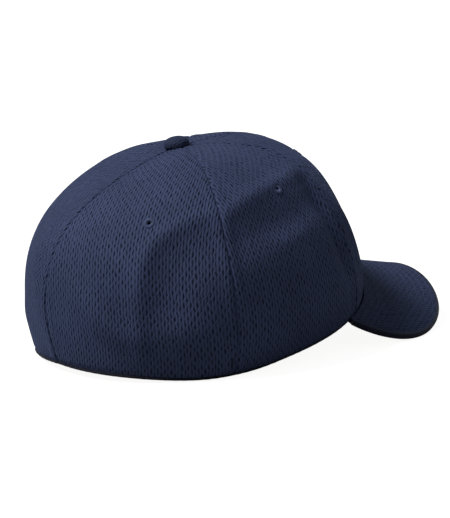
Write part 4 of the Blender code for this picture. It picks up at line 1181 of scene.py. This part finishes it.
def visor_edges(u):
    """Root curve just outside the crown, and the outline: a Bezier from each ear to the front."""
    angle = np.clip(u, -1, 1) * EAR_ANGLE
    root = bare_skin(angle, 0.0) + VISOR_CLEARANCE * flat_outward(angle)
    ear = EAR + VISOR_CLEARANCE * flat_outward(np.array([EAR_ANGLE]))[0]
    front = -FRONT_PROFILE[0][0] - VISOR_LENGTH
    control = (
        (ear[0] + VISOR_TIP[0], ear[1] - VISOR_TIP[1]),
        (ear[0] + VISOR_SHOULDER[0], ear[1] - VISOR_SHOULDER[1]),
        (VISOR_CORNER[0], front + VISOR_CORNER[1]),
        (VISOR_FRONT_HALF, front),
        (0.0, front),
    )
    outline = bezier(control, 1 - np.abs(u))
    return root, outline[..., 0] * np.sign(u), outline[..., 1]


def visor_height(x, y):
    """A dipping centre line that droops to the sides as a power of the distance from it."""
    centre = bare_skin(0.0, 0.0)
    droop = centre[2] - EAR[2] - VISOR_SLOPE * (centre[1] - EAR[1])
    return centre[2] - VISOR_SLOPE * (centre[1] - y) - droop * np.abs(x / EAR[0]) ** DROOP_POWER


def visor_middle(u, v):
    """Middle surface, v from 0 at the root to 1 at the outline; the root follows the rim."""
    root, out_x, out_y = visor_edges(u)
    x, y = root[..., 0] * (1 - v) + out_x * v, root[..., 1] * (1 - v) + out_y * v
    rise = (root[..., 2] - visor_height(root[..., 0], root[..., 1])) * (1 - v) ** 2
    return np.stack([x, y, visor_height(x, y) + rise], -1) + SEAT


def visor_normal(u, v):
    """Upward unit normal of the middle surface."""
    inner = np.clip(u, -0.995, 0.995)
    across = visor_middle(inner + 0.005, v) - visor_middle(inner - 0.005, v)
    normal = np.cross(visor_middle(u, v + 0.01) - visor_middle(u, v - 0.01), across)
    return unit(normal)


def visor_width(u):
    root, out_x, out_y = visor_edges(u)
    return np.hypot(out_x - root[..., 0], out_y - root[..., 1])


def quilting(from_edge, from_root):
    """Height of the covers over the board: dips on the rows of stitches, soft puffs between, and
    the turned allowance's ridge beside the crown."""
    height = np.zeros_like(from_edge)
    for row in range(ROW_COUNT):
        past = from_edge - FIRST_ROW - row * ROW_PITCH
        past_puff = from_edge - FIRST_ROW - (row + 0.5) * ROW_PITCH
        height -= CHANNEL_DEPTH * bell(past, CHANNEL_WIDTH)
        height += QUILT_PUFF * bell(past_puff, PUFF_WIDTH)
    clear = np.clip((from_root - PLAIN_STRIP) / PLAIN_FADE, 0, 1)
    ridge = ROOT_RIDGE * bell(from_root - ROOT_RIDGE_AT, ROOT_RIDGE_WIDTH)
    return height * clear + ridge * np.clip((from_edge - 0.006) / 0.006, 0, 1)


u = np.linspace(-1, 1, COVER_COLUMNS + 1)
width = visor_width(u)
start, end = COVER_ROOT / width, 1 - COVER_EDGE / width
v = end[:, None] + (start - end)[:, None] * np.linspace(0, 1, COVER_ROWS + 1)[None]
u = np.broadcast_to(u[:, None], v.shape)
points, normal = visor_middle(u, v), visor_normal(u, v)
from_edge, from_root = (1 - v) * width[:, None], v * width[:, None]
quilt = quilting(from_edge, from_root) - EDGE_TUCK * bell(from_edge, EDGE_TUCK_WIDTH)
reach = np.linspace(0, 0.1, 300)
slope = np.gradient(visor_height(reach, EAR[1]), reach)
drape = np.concatenate([[0], np.cumsum(np.hypot(1, slope[1:]) * np.diff(reach))])
unrolled = np.sign(points[..., 0]) * np.interp(np.abs(points[..., 0]), reach, drape)
uv = np.stack([unrolled, -points[..., 1] / math.cos(math.atan(VISOR_SLOPE))], -1)
visor_knit = make_knit("visor_mesh_knit", VISOR_SHADED_NAVY, VISOR_DEEP, 0.8, 0.00026, 0.10, (0.00046, 0.0011))
for name, node, side in VISOR_COVERS:
    near = BOARD_HALF + COVER_GAP
    inside = points + side * near * normal
    outside = points + side * (near + COVER_THICK + quilt)[..., None] * normal
    cover = shell_object(name, outside, inside, None, uv)
    turned_out(cover)
    cover.data.materials.append(visor_knit)
    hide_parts(node)
    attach(cover, "visor")
refinish("visor_board", make_plain("moulded_board", BOARD_GREY, BOARD_DARK, (0.4, 0.6), 700.0, 0.00005))

u = np.linspace(-1, 1, EDGE_STEPS + 1)
section = rounded(np.array(EDGE_SECTION) / 1000)
v = 1 - section[None, :, 0] / visor_width(u)[:, None]
wide_u = np.broadcast_to(u[:, None], v.shape)
rings = visor_middle(wide_u, v) + section[None, :, 1:] * visor_normal(wide_u, v)
along = arc_lengths(rings[:, :1], 0)[:, 0]
turned_edge = loft_object("visor_turned_edge", rings, False, strip_map(along, section))
edge_jersey = make_weave("edge_jersey", EDGE_LIGHT, EDGE_DEEP, 0.0007, 0.0, 0.00010, 0.2, 0.12)
turned_edge.data.materials.append(edge_jersey)
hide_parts("visor_edge")
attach(turned_edge, "visor")

visor_thread = make_thread("visor_thread", (0.040, 0.052, 0.108), THREAD_DEEP)
fine = np.linspace(0, 1, 401)
surface = BOARD_HALF + COVER_GAP + COVER_THICK - CHANNEL_DEPTH + 0.00010
for row in range(ROW_COUNT):
    inset = FIRST_ROW + row * ROW_PITCH
    reach = np.interp(-(inset + ROW_END), -visor_width(fine), fine)
    u = np.linspace(-reach, reach, 400)
    v = 1 - inset / visor_width(u)
    path, normal = visor_middle(u, v), visor_normal(u, v)
    sides = [stitched_line(path + side * surface * normal, side * normal) for side in (1, -1)]
    thread = stitches_object("visor_row_of_stitches_" + str(row + 1), sides, visor_thread)
    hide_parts("visor_stitch_row_" + str(row + 1))
    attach(thread, "visor")

low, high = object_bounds()
